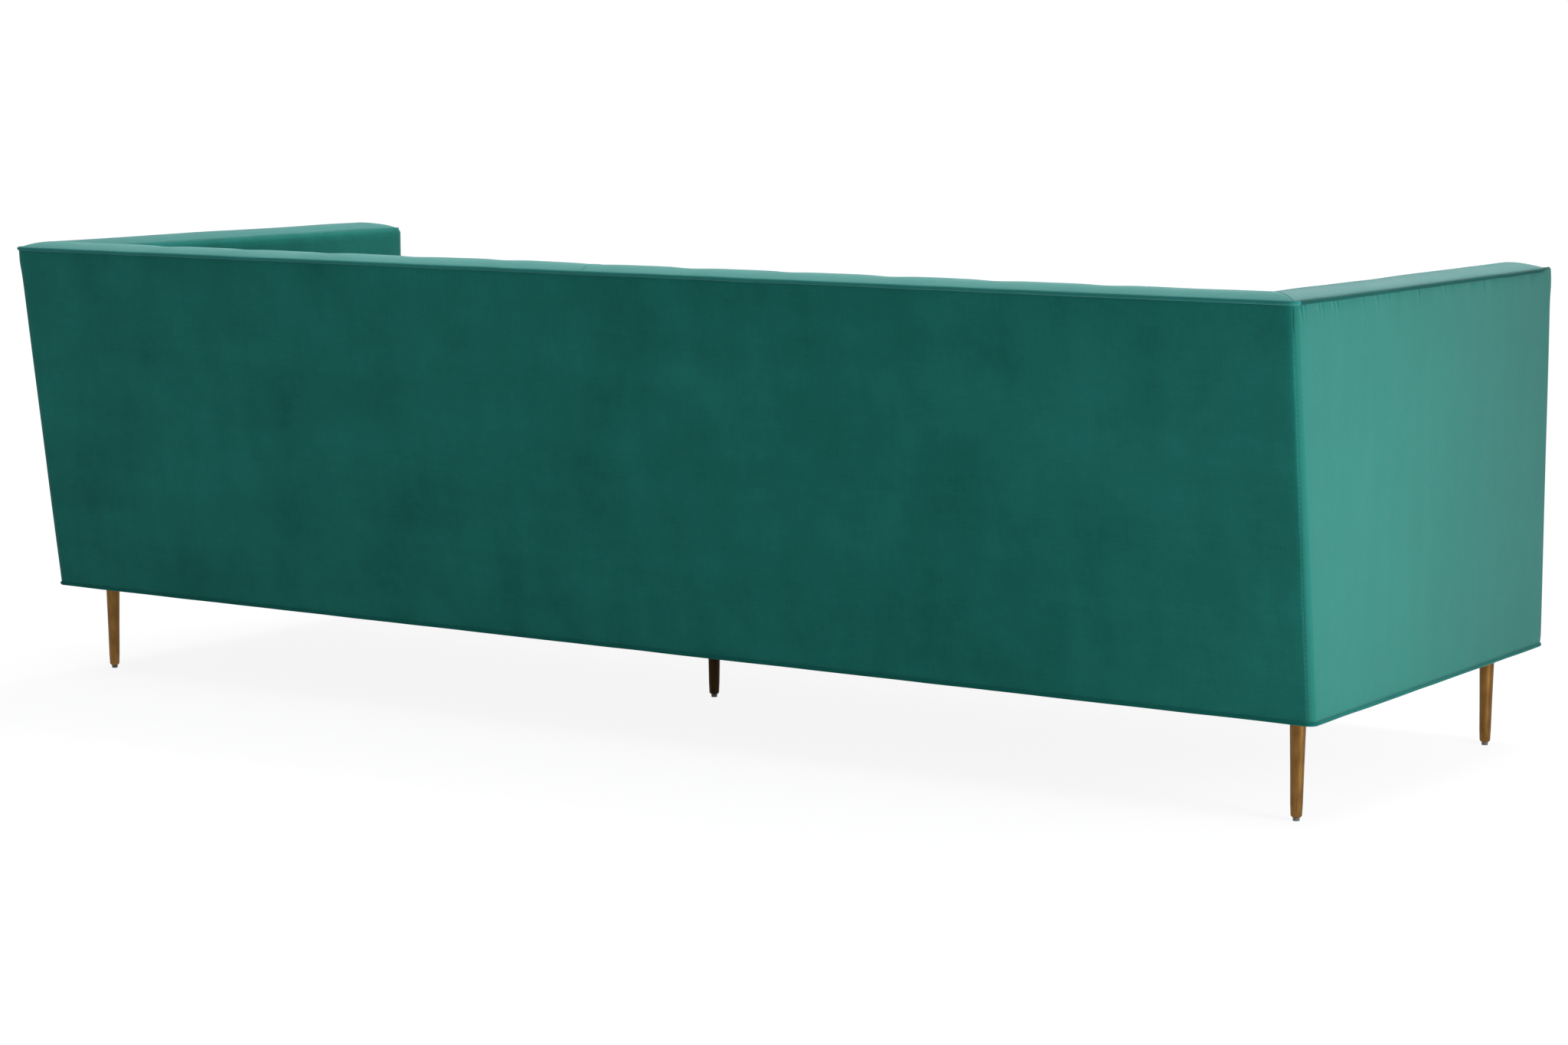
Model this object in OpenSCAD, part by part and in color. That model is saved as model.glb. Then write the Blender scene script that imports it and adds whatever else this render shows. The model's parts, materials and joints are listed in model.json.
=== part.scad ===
// Tuxedo sofa: arms and back of one height, loose seat cushions, tapered metal legs.
// The front faces -Y, +X is the sitter's left, +Z is up and the feet stand on z = 0.

/* [Overall] */
// Width over the two outside arm panels
body_w = 2430; // [2200:5:2700]
// Depth of the underside
base_d = 835; // [790:1:900]
// How far the top of the back stands behind its foot
back_lean = 82.5; // [50:0.5:110]
// Height of the underside above the floor
leg_h = 153; // [100:1:190]
// Height of the outer top edge, at the middle of its cord
edge_z = 750; // [700:1:820]
// Rise of the rounded tops above the middle of the cord
crown_h = 12; // [4:0.5:20]

/* [Arms and back] */
// Thickness of an arm
arm_t = 100; // [95:1:125]
// Thickness of the back at its top
back_t = 88; // [80:1:110]
// From the rear edge of the underside forward to the seams of the inside back
back_foot_t = 124; // [118:1:150]
// Height at which the inside back starts to lean
lumbar_z = 400; // [370:1:450]
// Width of one sewn channel of the inside back
channel_w = 180; // [160:1:190]
// How far a channel swells between its seams
channel_puff = 11; // [4:0.5:16]
// Thickness of the quilted inside back at its seams
quilt_t = 18; // [12:0.5:24]

/* [Seat] */
// Height of the covered deck under the cushions
deck_z = 300; // [280:1:330]
// Depth of a seat cushion
cushion_d = 695; // [640:1:720]
// Thickness of a seat cushion at its edge
cushion_h = 130; // [90:1:160]
// Rise of a cushion's top at its middle
cushion_crown = 16; // [6:1:30]
// How far a cushion's sides draw in between its corners
cushion_draw = 5; // [2:0.5:9]
// Corner radius of a cushion, seen from above
cushion_corner_r = 28; // [16:1:50]
// Cover and fibre wrap round a cushion's core
wrap_t = 8; // [4:0.5:14]

/* [Covers and padding] */
// Velvet and wadding of an outside panel
cover_t = 3; // [2:0.25:4]
// Lining board behind an outside panel
board_t = 3; // [2:0.25:5]
// Velvet and wadding of an inside arm
inner_cover_t = 4; // [2.5:0.25:6]
// Padding behind the arm fronts and the front border
front_pad_t = 8.75; // [5:0.25:14]
// Padding on top of the arm and back frames
top_pad_t = 6; // [3:0.5:12]
// Edge height of the rounded top panels
top_edge_h = 9; // [6:0.5:14]
// Diameter of the edge cords
cord_d = 6.5; // [5:0.25:8]
// How far the cords stand proud of the panels
cord_proud = 2.5; // [1:0.25:3]
// Cloth of the dust cover
dust_t = 1; // [0.5:0.25:2]

/* [Timber frame] */
// Thickness of the arm frames
post_t = 45; // [36:1:50]
// Width of the arm posts
post_w = 70; // [60:1:84]
// Height of the arm rails
arm_rail_h = 40; // [30:1:60]
// Thickness of the seat rails
rail_t = 32; // [26:1:38]
// Thickness of the top rails
top_rail_t = 32; // [22:1:45]
// Thickness of a rib
rib_t = 21; // [15:1:28]
// Depth of a rib at its foot
rib_foot_d = 88; // [74:1:96]
// Depth of a rib at its head
rib_head_d = 48; // [36:1:56]
// Height of the lower rail of the inside back
tack_rail_h = 30; // [20:1:40]
// Thickness of the centre stretchers
stretcher_t = 28; // [20:1:40]
// Height of the centre stretchers
stretcher_h = 70; // [50:1:85]
// Side of a corner block
block_l = 70; // [50:1:100]

/* [Legs] */
// Leg diameter where it meets the underside
leg_top_d = 24; // [20:0.5:30]
// Leg diameter at the foot
leg_foot_d = 16.6; // [14:0.2:20]
// From the outside arm panel in to a corner leg's centre
leg_end_inset = 59; // [50:1:70]
// From the front edge back to a front leg's centre
leg_front_inset = 81.5; // [60:0.5:100]
// From the rear edge forward to a rear leg's centre
leg_rear_inset = 73.5; // [60:0.5:100]
// From the middle of the sofa to the middle leg's centre
mid_leg_x = 101.6; // [60:0.2:140]
// From the front edge back to the middle leg's centre
mid_leg_inset = 409; // [340:1:480]
// Diameter of a glide
glide_d = 10; // [8:0.5:13]
// Height of a glide below its leg
glide_h = 4.5; // [3:0.5:8]
// Side of the plates that take the corner legs
plate_l = 160; // [150:1:200]
// Thickness of the leg plates
plate_t = 18; // [15:1:25]
// Diameter of a leg's threaded stud
stud_d = 8; // [6:1:8]

/* [Springs and webbing] */
// Spacing of the seat springs
spring_pitch = 190; // [120:5:190]
// Width of a seat spring
spring_w = 50; // [40:1:60]
// Half turns in a seat spring
spring_turns = 20; // [16:2:26]
// Spring wire
wire_d = 3.8; // [3:0.2:4.5]
// Number of webbing straps across the back
strap_n = 4; // [2:1:4]
// Height of a webbing strap
strap_h = 50; // [30:1:60]

/* [Hidden] */

velvet = [0.16, 0.45, 0.41];
timber = [0.80, 0.66, 0.46];
plywood = [0.86, 0.74, 0.55];
steel = [0.62, 0.63, 0.65];
brass = [0.60, 0.45, 0.24];
foam = [0.93, 0.90, 0.80];
card = [0.66, 0.55, 0.40];
black_cloth = [0.10, 0.10, 0.11];
grey_plastic = [0.45, 0.45, 0.46];

$fn = 48;
overrun = 1;

// Small gaps and hidden sizes
cushion_gap = 2;
cushion_split = 3;
seat_clear = 0.3;
fit_gap = 0.05;
zip_gap = 0.15;
corner_relief = 6;
web_t = 1.5;
felt_t = 4;
deck_t = 3.6;
tie_d = 2.4;
clip_t = 1.2;
clip_w = 14;
clip_l = 18;
turn_chamfer = 9;
strip_h = 12;
insert_d = 12;
stud_in_leg = 20;
stud_in_plate = 14;
leg_chamfer = 3;
glide_pin_d = 3;
glide_pin_l = 12;
screw_d = 4;
screw_head_d = 8;
screw_head_h = 2.5;
screw_l = 40;
screw_edge = 30;
bolt_d = 8;
bolt_head_d = 14.4;
bolt_head_h = 5.5;
bolt_inset = 14;
bolt_drop = 25;
washer_d = 18;
washer_t = 1.6;
block_gap = 9;
bolt_nut_d = 11;
bolt_nut_l = 14;
bolt_nut_flange_t = 1.5;
mid_plate_w = 120;
mid_screw_pitch = 120;
cushion_bulge = 2;
zip_h = 14;
zip_t = 1.2;
slider_l = 9;
slider_t = 2.2;
crown_run = 55;

// Shares and counts of the soft forms
channel_steps = 6;
top_steps = 4;
across_steps = 6;
corner_steps = 3;
side_steps = 7;
quilt_height_shares = [0, 0.04, 0.14, 0.23, 0.45, 0.68, 0.88, 0.96, 1];
quilt_swell_shares = [0.45, 0.85, 1, 1, 1, 1, 0.9, 0.6, 0.3];
arm_front_shares = [0, 0.2, 0.5, 1];
arm_length_shares = [0.33, 0.66, 1];
front_crown_share = 0.6;
seam_dip_share = 0.2;
side_bulge_shares = [[0, 0], [0.12, 0.7], [0.5, 1], [0.88, 0.7], [1, 0]];
cap_ring_shares = [0.965, 0.87, 0.7, 0.48, 0.24];
cap_power = 2.6;
zip_share = 0.4;
strap_first_share = 0.2;
strap_step_share = 0.22;
tie_shares = [0.33, 0.67];
springs_per_rib = 2;

// Outline of the body
half_w = body_w / 2;
front_y = -(base_d + back_lean) / 2;
foot_y = front_y + base_d;
head_y = foot_y + back_lean;
lean_slope = back_lean / (edge_z - leg_h);
lean_angle = atan(lean_slope);
cord_r = cord_d / 2;
cord_sink = cord_r - cord_proud;
cord_in = cord_r + cord_sink;
cover_y = cover_t / cos(lean_angle);
shell_t = cover_t + board_t;
shell_y = shell_t / cos(lean_angle);
cover_z0 = leg_h + cord_d;
cover_z1 = edge_z - cord_r;

// Faces of the timber frame
frame_out = half_w - shell_t;
frame_in = frame_out - post_t;
frame_front = front_y + cover_t + front_pad_t;
frame_z = leg_h + dust_t;
top_panel_z = edge_z - top_edge_h;
frame_top = top_panel_z - top_pad_t;
post_top = frame_top - top_rail_t;
plate_top = frame_z + plate_t;
side_rail_in = frame_in - rail_t;
front_rail_in = frame_front + rail_t;
foot_in = foot_y + lean_slope * dust_t - shell_y;
rear_rail_in = foot_in - rail_t;

// Levels of the seat
deck_bottom = deck_z - deck_t;
felt_bottom = deck_bottom - felt_t;
spring_top = felt_bottom - tie_d;
spring_bottom = spring_top - wire_d;
rail_top = spring_bottom - clip_t;

// Faces of the arms, the inside back and the cushions
arm_in = half_w - arm_t;
lining_in = frame_in - board_t;
front_cover_in = front_y + cover_t;
quilt_low_y = foot_y - back_foot_t;
cushion_rear = quilt_low_y - channel_puff - cushion_gap;
cushion_front = cushion_rear - cushion_d;
cushion_w = arm_in - cushion_gap - cushion_split / 2;
cushion_x = cushion_split / 2 + cushion_w / 2;
cushion_z = deck_z + seat_clear;
top_seam_y = head_y - back_t;
tack_rail_top = deck_z + tack_rail_h;

// Places of the legs
leg_x = half_w - leg_end_inset;
leg_front_y = front_y + leg_front_inset;
leg_rear_y = foot_y - leg_rear_inset;
mid_leg_y = front_y + mid_leg_inset;
leg_places = [
    [leg_x, leg_front_y], [-leg_x, leg_front_y], [leg_x, leg_rear_y], [-leg_x, leg_rear_y],
    [mid_leg_x, mid_leg_y]
];

// Screws up through the leg plates: one to a post, one to a cross rail, one to a side rail
corner_screws = [
    [frame_out - post_t / 2, frame_front + post_w / 2],
    [frame_out - plate_l + screw_edge, frame_front + rail_t / 2],
    [frame_in - rail_t / 2, frame_front + plate_l - screw_edge],
    [frame_out - post_t / 2, foot_in - post_w / 2],
    [frame_out - plate_l + screw_edge, rear_rail_in + rail_t / 2],
    [frame_in - rail_t / 2, foot_in - plate_l + screw_edge]
];
mid_screws = [for (s = [-1, 1]) [mid_leg_x, mid_leg_y + s * mid_screw_pitch / 2]];
screw_places = concat(corner_screws, [for (p = corner_screws) [-p[0], p[1]]], mid_screws);

// Bolts that hold the arms to the seat frame
bolt_z = rail_top - bolt_drop;
bolt_ys = [front_rail_in + bolt_inset, rear_rail_in - bolt_inset];

// Places of the seat springs, in pairs about the middle, and of the ribs, which stand between springs
spring_pairs = floor((side_rail_in - spring_w / 2 + spring_pitch / 2) / spring_pitch);
spring_n = 2 * spring_pairs;
spring_xs = [for (i = [0:spring_n - 1]) (i - (spring_n - 1) / 2) * spring_pitch];
rib_pitch = springs_per_rib * spring_pitch;
inner_ribs = floor((frame_in - 2 * rib_t) / rib_pitch);
rib_xs = concat(
    [rib_t / 2 - frame_in], [for (i = [-inner_ribs:inner_ribs]) i * rib_pitch], [frame_in - rib_t / 2]
);

// Rear surfaces at a height
function rear_y(z) = foot_y + (z - leg_h) * lean_slope;
function board_y(z) = rear_y(z) - cover_y;
function frame_y(z) = rear_y(z) - shell_y;

// Front edge of the ribs, and the front of the webbing on it
rib_foot = [frame_y(rail_top) - rib_foot_d, rail_top];
rib_head = [frame_y(post_top) - rib_head_d, post_top];
rib_run = rib_head - rib_foot;
rib_along = rib_run / norm(rib_run);
rib_out = [-rib_along[1], rib_along[0]];
web_y = web_t / rib_along[1] + fit_gap;
head_front_y = frame_y(frame_top) - rib_head_d - web_y;
function rib_front_y(z) = rib_foot[0] + (z - rib_foot[1]) * rib_run[0] / rib_run[1];
function web_front_y(z) = rib_front_y(z) - web_y;

// Seam line of the inside back, and its plain back face
function quilt_y(z) =
    z <= lumbar_z ? quilt_low_y
    : quilt_low_y + (z - lumbar_z) * (top_seam_y - quilt_low_y) / (top_panel_z - lumbar_z);
function quilt_back_y(z) = quilt_y(z) + quilt_t;

// Edges of a band of a given height whose rear follows the leaning back
function leaning_band(z0, z1, near, far) = [
    [rear_y(z0) - near, z0], [rear_y(z1) - near, z1], [rear_y(z1) - far, z1], [rear_y(z0) - far, z0]
];

// Places of the channel seams, with the two ends of the inside back
seam_n = 2 * floor((arm_in - channel_w / 4) / channel_w) + 1;
seam_xs = concat(
    [-arm_in],
    [for (k = [0:seam_n - 1]) (k - (seam_n - 1) / 2) * channel_w],
    [arm_in]
);

// Columns across the seams: [x, share of the way across the channel]
function channel_columns(steps) = concat(
    [for (c = [0:len(seam_xs) - 2]) for (k = [0:steps - 1])
        [seam_xs[c] + (seam_xs[c + 1] - seam_xs[c]) * k / steps, k / steps]],
    [[arm_in, 1]]
);
function swell(t) = pow(1 - pow(2 * t - 1, 2), 0.6);

// Rise of a rounded top at a share of the way across it
function crown(u) = crown_h * (1 - pow(2 * u - 1, 2));

// Offsets a path of points sideways, with mitred corners
function unit(v) = v / norm(v);
function left_of(v) = [-v[1], v[0]];
function side_step(path, i) =
    let (
        last = len(path) - 1,
        a = left_of(unit(path[max(i, 1)] - path[max(i, 1) - 1])),
        b = left_of(unit(path[min(i, last - 1) + 1] - path[min(i, last - 1)]))
    ) (a + b) / (1 + a * b);
function offset_path(path, d) = [for (i = [0:len(path) - 1]) path[i] + d * side_step(path, i)];
function backwards(list) = [for (i = [len(list) - 1:-1:0]) list[i]];
function band(path, w) = concat(offset_path(path, w / 2), backwards(offset_path(path, -w / 2)));

// Extrudes an outline of [y, z] points from x0 to x1
module side_slab(x0, x1, outline) {
    translate([x0, 0, 0])
        rotate([90, 0, 90])
            linear_extrude(x1 - x0)
                polygon(outline);
}

// Box between two corners
module block(low, high) {
    translate(low)
        cube(high - low);
}

// Rod along x between two places
module cross_rod(x0, x1, y, z, d) {
    translate([x0, y, z])
        rotate([0, 90, 0])
            cylinder(h = x1 - x0, d = d);
}

// Copies its child on the other side of the sofa
module mirrored_x() {
    mirror([1, 0, 0])
        children();
}

module both_sides() {
    children();
    mirrored_x()
        children();
}

// Solid through sections that are closed rings of points. Both end rings are flat, and their caps
// fan out from the ring's point number hub.
module loft(sections, hub) {
    n = len(sections[0]);
    last = len(sections) - 1;
    function at(i, k) = i * n + k % n;
    skin = [for (i = [0:last - 1]) for (k = [0:n - 1]) each [
        [at(i, k), at(i, k + 1), at(i + 1, k + 1)],
        [at(i, k), at(i + 1, k + 1), at(i + 1, k)]
    ]];
    caps = [for (k = [hub + 1:hub + n - 2]) each [
        [at(0, hub), at(0, k + 1), at(0, k)],
        [at(last, hub), at(last, k), at(last, k + 1)]
    ]];
    polyhedron([for (ring = sections) each ring], concat(skin, caps));
}

// Closed solid through a stack of rings, from a flat base up to one top point
module ring_stack(rings, top_point) {
    n = len(rings[0]);
    last = len(rings) - 1;
    function at(k, i) = k * n + i % n;
    points = concat([for (ring = rings) each ring], [top_point]);
    walls = [for (k = [0:last - 1]) for (i = [0:n - 1]) each [
        [at(k, i), at(k + 1, i), at(k + 1, i + 1)],
        [at(k, i), at(k + 1, i + 1), at(k, i + 1)]
    ]];
    base = [for (i = [0:n - 1]) at(0, i)];
    cap = [for (i = [0:n - 1]) [at(last, i + 1), at(last, i), n * (last + 1)]];
    polyhedron(points, concat([base], walls, cap));
}

// Outline of a cushion from above: round corners, with sides that draw in between them
function rim_side(a, b, inward, draw) = [for (k = [1:side_steps - 1])
    let (t = k / side_steps) a + (b - a) * t + inward * draw * (1 - pow(2 * t - 1, 2))];
function rim_corner(centre, r, start) = [for (k = [0:corner_steps])
    centre + r * [cos(start + 90 * k / corner_steps), sin(start + 90 * k / corner_steps)]];
function rim(w, d, r, draw) =
    let (x = w / 2 - r, y = d / 2 - r) concat(
        rim_corner([x, y], r, 0), rim_side([x, y + r], [-x, y + r], [0, -1], draw),
        rim_corner([-x, y], r, 90), rim_side([-x - r, y], [-x - r, -y], [1, 0], draw),
        rim_corner([-x, -y], r, 180), rim_side([-x, -y - r], [x, -y - r], [0, 1], draw),
        rim_corner([x, -y], r, 270), rim_side([x + r, -y], [x + r, y], [-1, 0], draw)
    );

// Seat cushion shape, drawn in by a margin all round
module cushion_shape(margin) {
    h = cushion_h - 2 * margin;
    w = cushion_w - 2 * margin;
    d = cushion_d - 2 * margin;
    r = cushion_corner_r - margin;
    sides = [for (s = side_bulge_shares)
        let (slack = cushion_bulge * (1 - s[1]))
        [for (p = rim(w - 2 * slack, d - 2 * slack, r, cushion_draw)) [p[0], p[1], h * s[0]]]];
    edge = rim(w - 2 * cushion_bulge, d - 2 * cushion_bulge, r, cushion_draw);
    caps = [for (g = cap_ring_shares)
        [for (p = edge) [p[0] * g, p[1] * g, h + cushion_crown * (1 - pow(g, cap_power))]]];
    translate([cushion_x, cushion_front + cushion_d / 2, cushion_z + margin])
        ring_stack(concat(sides, caps), [0, 0, h + cushion_crown]);
}

// Timber seat frame

module plate_pockets() {
    low = frame_z - overrun;
    both_sides() {
        block(
            [frame_out - plate_l, frame_front - overrun, low],
            [frame_out + overrun, frame_front + plate_l, plate_top]
        );
        block(
            [frame_out - plate_l, foot_in - plate_l, low],
            [frame_out + overrun, foot_in + plate_l, plate_top]
        );
    }
}

module screw_holes() {
    for (p = screw_places)
        translate([p[0], p[1], frame_z]) {
            cylinder(h = screw_l + fit_gap, d = screw_d + 2 * fit_gap);
            cylinder(h = screw_head_h + fit_gap, d1 = screw_head_d + 2 * fit_gap, d2 = screw_d);
        }
}

module bolt_holes() {
    both_sides()
        for (y = bolt_ys) {
            cross_rod(side_rail_in - overrun, frame_out + overrun, y, bolt_z, bolt_d + 2 * fit_gap);
            cross_rod(frame_out - bolt_nut_l, frame_out + overrun, y, bolt_z, bolt_nut_d + 2 * fit_gap);
            cross_rod(
                frame_out - bolt_nut_flange_t, frame_out + overrun, y, bolt_z, washer_d + 2 * fit_gap
            );
        }
}

module front_seat_rail() {
    color(timber)
        difference() {
            block([-frame_in, frame_front, frame_z], [frame_in, front_rail_in, rail_top]);
            plate_pockets();
            screw_holes();
        }
}

module rear_seat_rail() {
    color(timber)
        difference() {
            side_slab(-frame_in, frame_in, [
                [frame_y(frame_z), frame_z], [frame_y(rail_top), rail_top],
                [rear_rail_in, rail_top], [rear_rail_in, frame_z]
            ]);
            plate_pockets();
            screw_holes();
        }
}

module left_seat_rail() {
    color(timber)
        difference() {
            block([side_rail_in, front_rail_in, frame_z], [frame_in, rear_rail_in, rail_top]);
            plate_pockets();
            screw_holes();
            bolt_holes();
        }
}

module right_seat_rail() {
    mirrored_x()
        left_seat_rail();
}

module centre_stretchers() {
    color(timber)
        difference() {
            both_sides()
                block(
                    [mid_leg_x - stretcher_t / 2, front_rail_in, plate_top],
                    [mid_leg_x + stretcher_t / 2, rear_rail_in, plate_top + stretcher_h]
                );
            screw_holes();
        }
}

module insert_holes() {
    for (p = leg_places)
        translate([p[0], p[1], frame_z - overrun])
            cylinder(h = plate_t + 2 * overrun, d = insert_d + 2 * fit_gap);
}

module corner_plates() {
    color(plywood)
        difference() {
            both_sides() {
                block(
                    [frame_out - plate_l, frame_front, frame_z],
                    [frame_out, frame_front + plate_l, plate_top]
                );
                block([frame_out - plate_l, foot_in - plate_l, frame_z], [frame_out, foot_in, plate_top]);
            }
            insert_holes();
            screw_holes();
        }
}

module middle_leg_plate() {
    color(plywood)
        difference() {
            block(
                [mid_leg_x - mid_plate_w / 2, mid_leg_y - plate_l / 2, frame_z],
                [mid_leg_x + mid_plate_w / 2, mid_leg_y + plate_l / 2, plate_top]
            );
            insert_holes();
            screw_holes();
        }
}

module corner_blocks() {
    block_top = bolt_z - washer_d / 2 - block_gap;
    color(timber)
        translate([0, 0, plate_top])
            linear_extrude(block_top - plate_top)
                both_sides() {
                    polygon([
                        [side_rail_in, front_rail_in], [side_rail_in, front_rail_in + block_l],
                        [side_rail_in - block_l, front_rail_in]
                    ]);
                    polygon([
                        [side_rail_in, rear_rail_in], [side_rail_in - block_l, rear_rail_in],
                        [side_rail_in, rear_rail_in - block_l]
                    ]);
                }
}

// Timber arm and back frames

module left_arm_posts() {
    color(timber)
        difference() {
            union() {
                block([frame_in, frame_front, frame_z], [frame_out, frame_front + post_w, post_top]);
                side_slab(frame_in, frame_out, leaning_band(frame_z, post_top, shell_y, shell_y + post_w));
            }
            plate_pockets();
            screw_holes();
            bolt_holes();
        }
}

module right_arm_posts() {
    mirrored_x()
        left_arm_posts();
}

module post_rail(z0, z1) {
    start = frame_front + post_w;
    side_slab(frame_in, frame_out, [
        [start, z0], [frame_y(z0) - post_w, z0], [frame_y(z1) - post_w, z1], [start, z1]
    ]);
}

module left_arm_rails() {
    color(timber)
        difference() {
            union() {
                post_rail(frame_z, frame_z + arm_rail_h);
                post_rail(rail_top, rail_top + arm_rail_h);
                side_slab(frame_in, frame_out, [
                    [frame_front, post_top], [frame_y(post_top), post_top],
                    [frame_y(frame_top), frame_top], [frame_front, frame_top]
                ]);
            }
            plate_pockets();
        }
}

module right_arm_rails() {
    mirrored_x()
        left_arm_rails();
}

module back_ribs() {
    color(plywood)
        for (x = rib_xs)
            translate([x, 0, 0])
                side_slab(-rib_t / 2, rib_t / 2, [
                    [frame_y(rail_top), rail_top], [frame_y(post_top), post_top], rib_head, rib_foot
                ]);
}

module back_top_rail() {
    color(timber)
        side_slab(-frame_in, frame_in, leaning_band(post_top, frame_top, shell_y, shell_y + rib_head_d));
}

module back_tack_rail() {
    color(timber)
        side_slab(-arm_in, arm_in, [
            [quilt_back_y(deck_z), deck_z], [rib_front_y(deck_z), deck_z],
            [rib_front_y(tack_rail_top), tack_rail_top], [quilt_back_y(deck_z), tack_rail_top]
        ]);
}

// Fasteners of the frame

module insert_nuts() {
    color(steel)
        for (p = leg_places)
            translate([p[0], p[1], frame_z])
                difference() {
                    cylinder(h = plate_t, d = insert_d);
                    translate([0, 0, -overrun])
                        cylinder(h = plate_t + 2 * overrun, d = stud_d + 2 * fit_gap);
                }
}

module leg_studs() {
    color(steel)
        for (p = leg_places)
            translate([p[0], p[1], leg_h - stud_in_leg])
                cylinder(h = stud_in_leg + dust_t + stud_in_plate, d = stud_d);
}

module frame_screws() {
    color(steel)
        for (p = screw_places)
            translate([p[0], p[1], frame_z]) {
                cylinder(h = screw_l, d = screw_d);
                cylinder(h = screw_head_h, d1 = screw_head_d, d2 = screw_d);
            }
}

module arm_bolts() {
    color(steel)
        both_sides()
            for (y = bolt_ys) {
                cross_rod(side_rail_in - washer_t, frame_out - bolt_nut_flange_t, y, bolt_z, bolt_d);
                translate([side_rail_in - washer_t - bolt_head_h, y, bolt_z])
                    rotate([0, 90, 0])
                        cylinder(h = bolt_head_h, d = bolt_head_d, $fn = 6);
            }
}

module ring_x(x0, x1, y, z, outer, inner) {
    difference() {
        cross_rod(x0, x1, y, z, outer);
        cross_rod(x0 - overrun, x1 + overrun, y, z, inner);
    }
}

module arm_bolt_nuts() {
    bore = bolt_d + 2 * fit_gap;
    color(steel)
        both_sides()
            for (y = bolt_ys) {
                ring_x(side_rail_in - washer_t, side_rail_in, y, bolt_z, washer_d, bore);
                difference() {
                    union() {
                        cross_rod(frame_out - bolt_nut_l, frame_out, y, bolt_z, bolt_nut_d);
                        cross_rod(frame_out - bolt_nut_flange_t, frame_out, y, bolt_z, washer_d);
                    }
                    cross_rod(frame_out - bolt_nut_l - overrun, frame_out + overrun, y, bolt_z, bore);
                }
            }
}

// Springs, webbing and the seat deck

spring_y0 = frame_front + rail_t / 2;
spring_y1 = rear_rail_in + rail_t / 2;
turn_l = (spring_y1 - spring_y0) / spring_turns;
turn_x = (spring_w - wire_d) / 2;

// Middle line of one zigzag spring, from the front clip to the rear clip
spring_path = concat(
    [[-turn_x, spring_y0]],
    [for (k = [0:spring_turns - 1])
        let (s = k % 2 == 0 ? 1 : -1, y = spring_y0 + k * turn_l)
        each [
            [s * (turn_x - turn_chamfer), y], [s * turn_x, y + turn_chamfer],
            [s * turn_x, y + turn_l - turn_chamfer], [s * (turn_x - turn_chamfer), y + turn_l]
        ]],
    [[spring_turns % 2 == 0 ? turn_x : -turn_x, spring_y1]]
);

module seat_springs() {
    color(steel)
        for (x = spring_xs)
            translate([x, 0, spring_bottom])
                linear_extrude(wire_d)
                    polygon(band(spring_path, wire_d));
}

// Clip round the end bar of a spring, open towards the seat
module spring_clip(inward) {
    difference() {
        translate([-clip_w / 2, -clip_l / 2, 0])
            cube([clip_w, clip_l, wire_d + 2 * clip_t]);
        translate([-clip_w, inward > 0 ? -wire_d / 2 : -clip_l, clip_t])
            cube([2 * clip_w, clip_l + wire_d / 2, wire_d]);
    }
}

module spring_clips() {
    color(steel)
        for (x = spring_xs) {
            translate([x, spring_y0, rail_top])
                spring_clip(1);
            translate([x, spring_y1, rail_top])
                spring_clip(-1);
        }
}

module spring_ties() {
    reach = spring_xs[spring_n - 1] + spring_w / 2;
    color(card)
        for (s = tie_shares)
            cross_rod(
                -reach, reach, spring_y0 + s * (spring_y1 - spring_y0), spring_top + tie_d / 2, tie_d
            );
}

module seat_felt() {
    color(card)
        block(
            [-(side_rail_in + rail_t / 2), frame_front, felt_bottom],
            [side_rail_in + rail_t / 2, quilt_back_y(deck_z), deck_bottom]
        );
}

module seat_deck() {
    color(velvet)
        block([-arm_in, front_y, deck_bottom], [arm_in, quilt_back_y(deck_z), deck_z]);
}

module back_webbing() {
    color(black_cloth)
        for (i = [0:strap_n - 1]) {
            middle = rib_foot + rib_run * (strap_first_share + strap_step_share * i);
            low = middle - rib_along * strap_h / 2;
            high = middle + rib_along * strap_h / 2;
            side_slab(-frame_in, frame_in, [low, high, high + rib_out * web_t, low + rib_out * web_t]);
        }
}

// Padding and covers of the back

module back_foam() {
    color(foam)
        side_slab(-arm_in, arm_in, [
            [quilt_back_y(lumbar_z), tack_rail_top],
            [web_front_y(tack_rail_top), tack_rail_top],
            [web_front_y(post_top), post_top], [head_front_y, frame_top],
            [quilt_back_y(frame_top), frame_top],
            [quilt_back_y(lumbar_z), lumbar_z]
        ]);
}

module inside_back() {
    levels = [for (share = quilt_height_shares) deck_z + share * (top_panel_z - deck_z)];
    sections = [for (c = channel_columns(channel_steps))
        concat(
            [for (j = [0:len(levels) - 1])
                let (puff = channel_puff * swell(c[1]) * quilt_swell_shares[j])
                [c[0], quilt_y(levels[j]) - puff, levels[j]]],
            [for (z = [top_panel_z, lumbar_z, deck_z]) [c[0], quilt_back_y(z), z]]
        )];
    color(velvet)
        loft(sections, len(levels) + 1);
}

module outside_back() {
    color(velvet)
        side_slab(-half_w, half_w, leaning_band(cover_z0, cover_z1, 0, cover_y));
}

// One layer behind the outside covers: a piece across the back and one on each arm
module lining_layer(z0, z1) {
    reach = frame_out - corner_relief;
    side_slab(-reach, reach, leaning_band(z0, z1, cover_y, shell_y));
    both_sides()
        side_slab(frame_out, frame_out + board_t, [
            [frame_front, z0], [frame_y(z0) - corner_relief, z0],
            [frame_y(z1) - corner_relief, z1], [frame_front, z1]
        ]);
}

module outside_lining_boards() {
    color(card)
        lining_layer(cover_z0, top_panel_z - strip_h);
}

module tack_strips() {
    color(card)
        lining_layer(top_panel_z - strip_h, top_panel_z);
}

// Padding and covers of the arms

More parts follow.
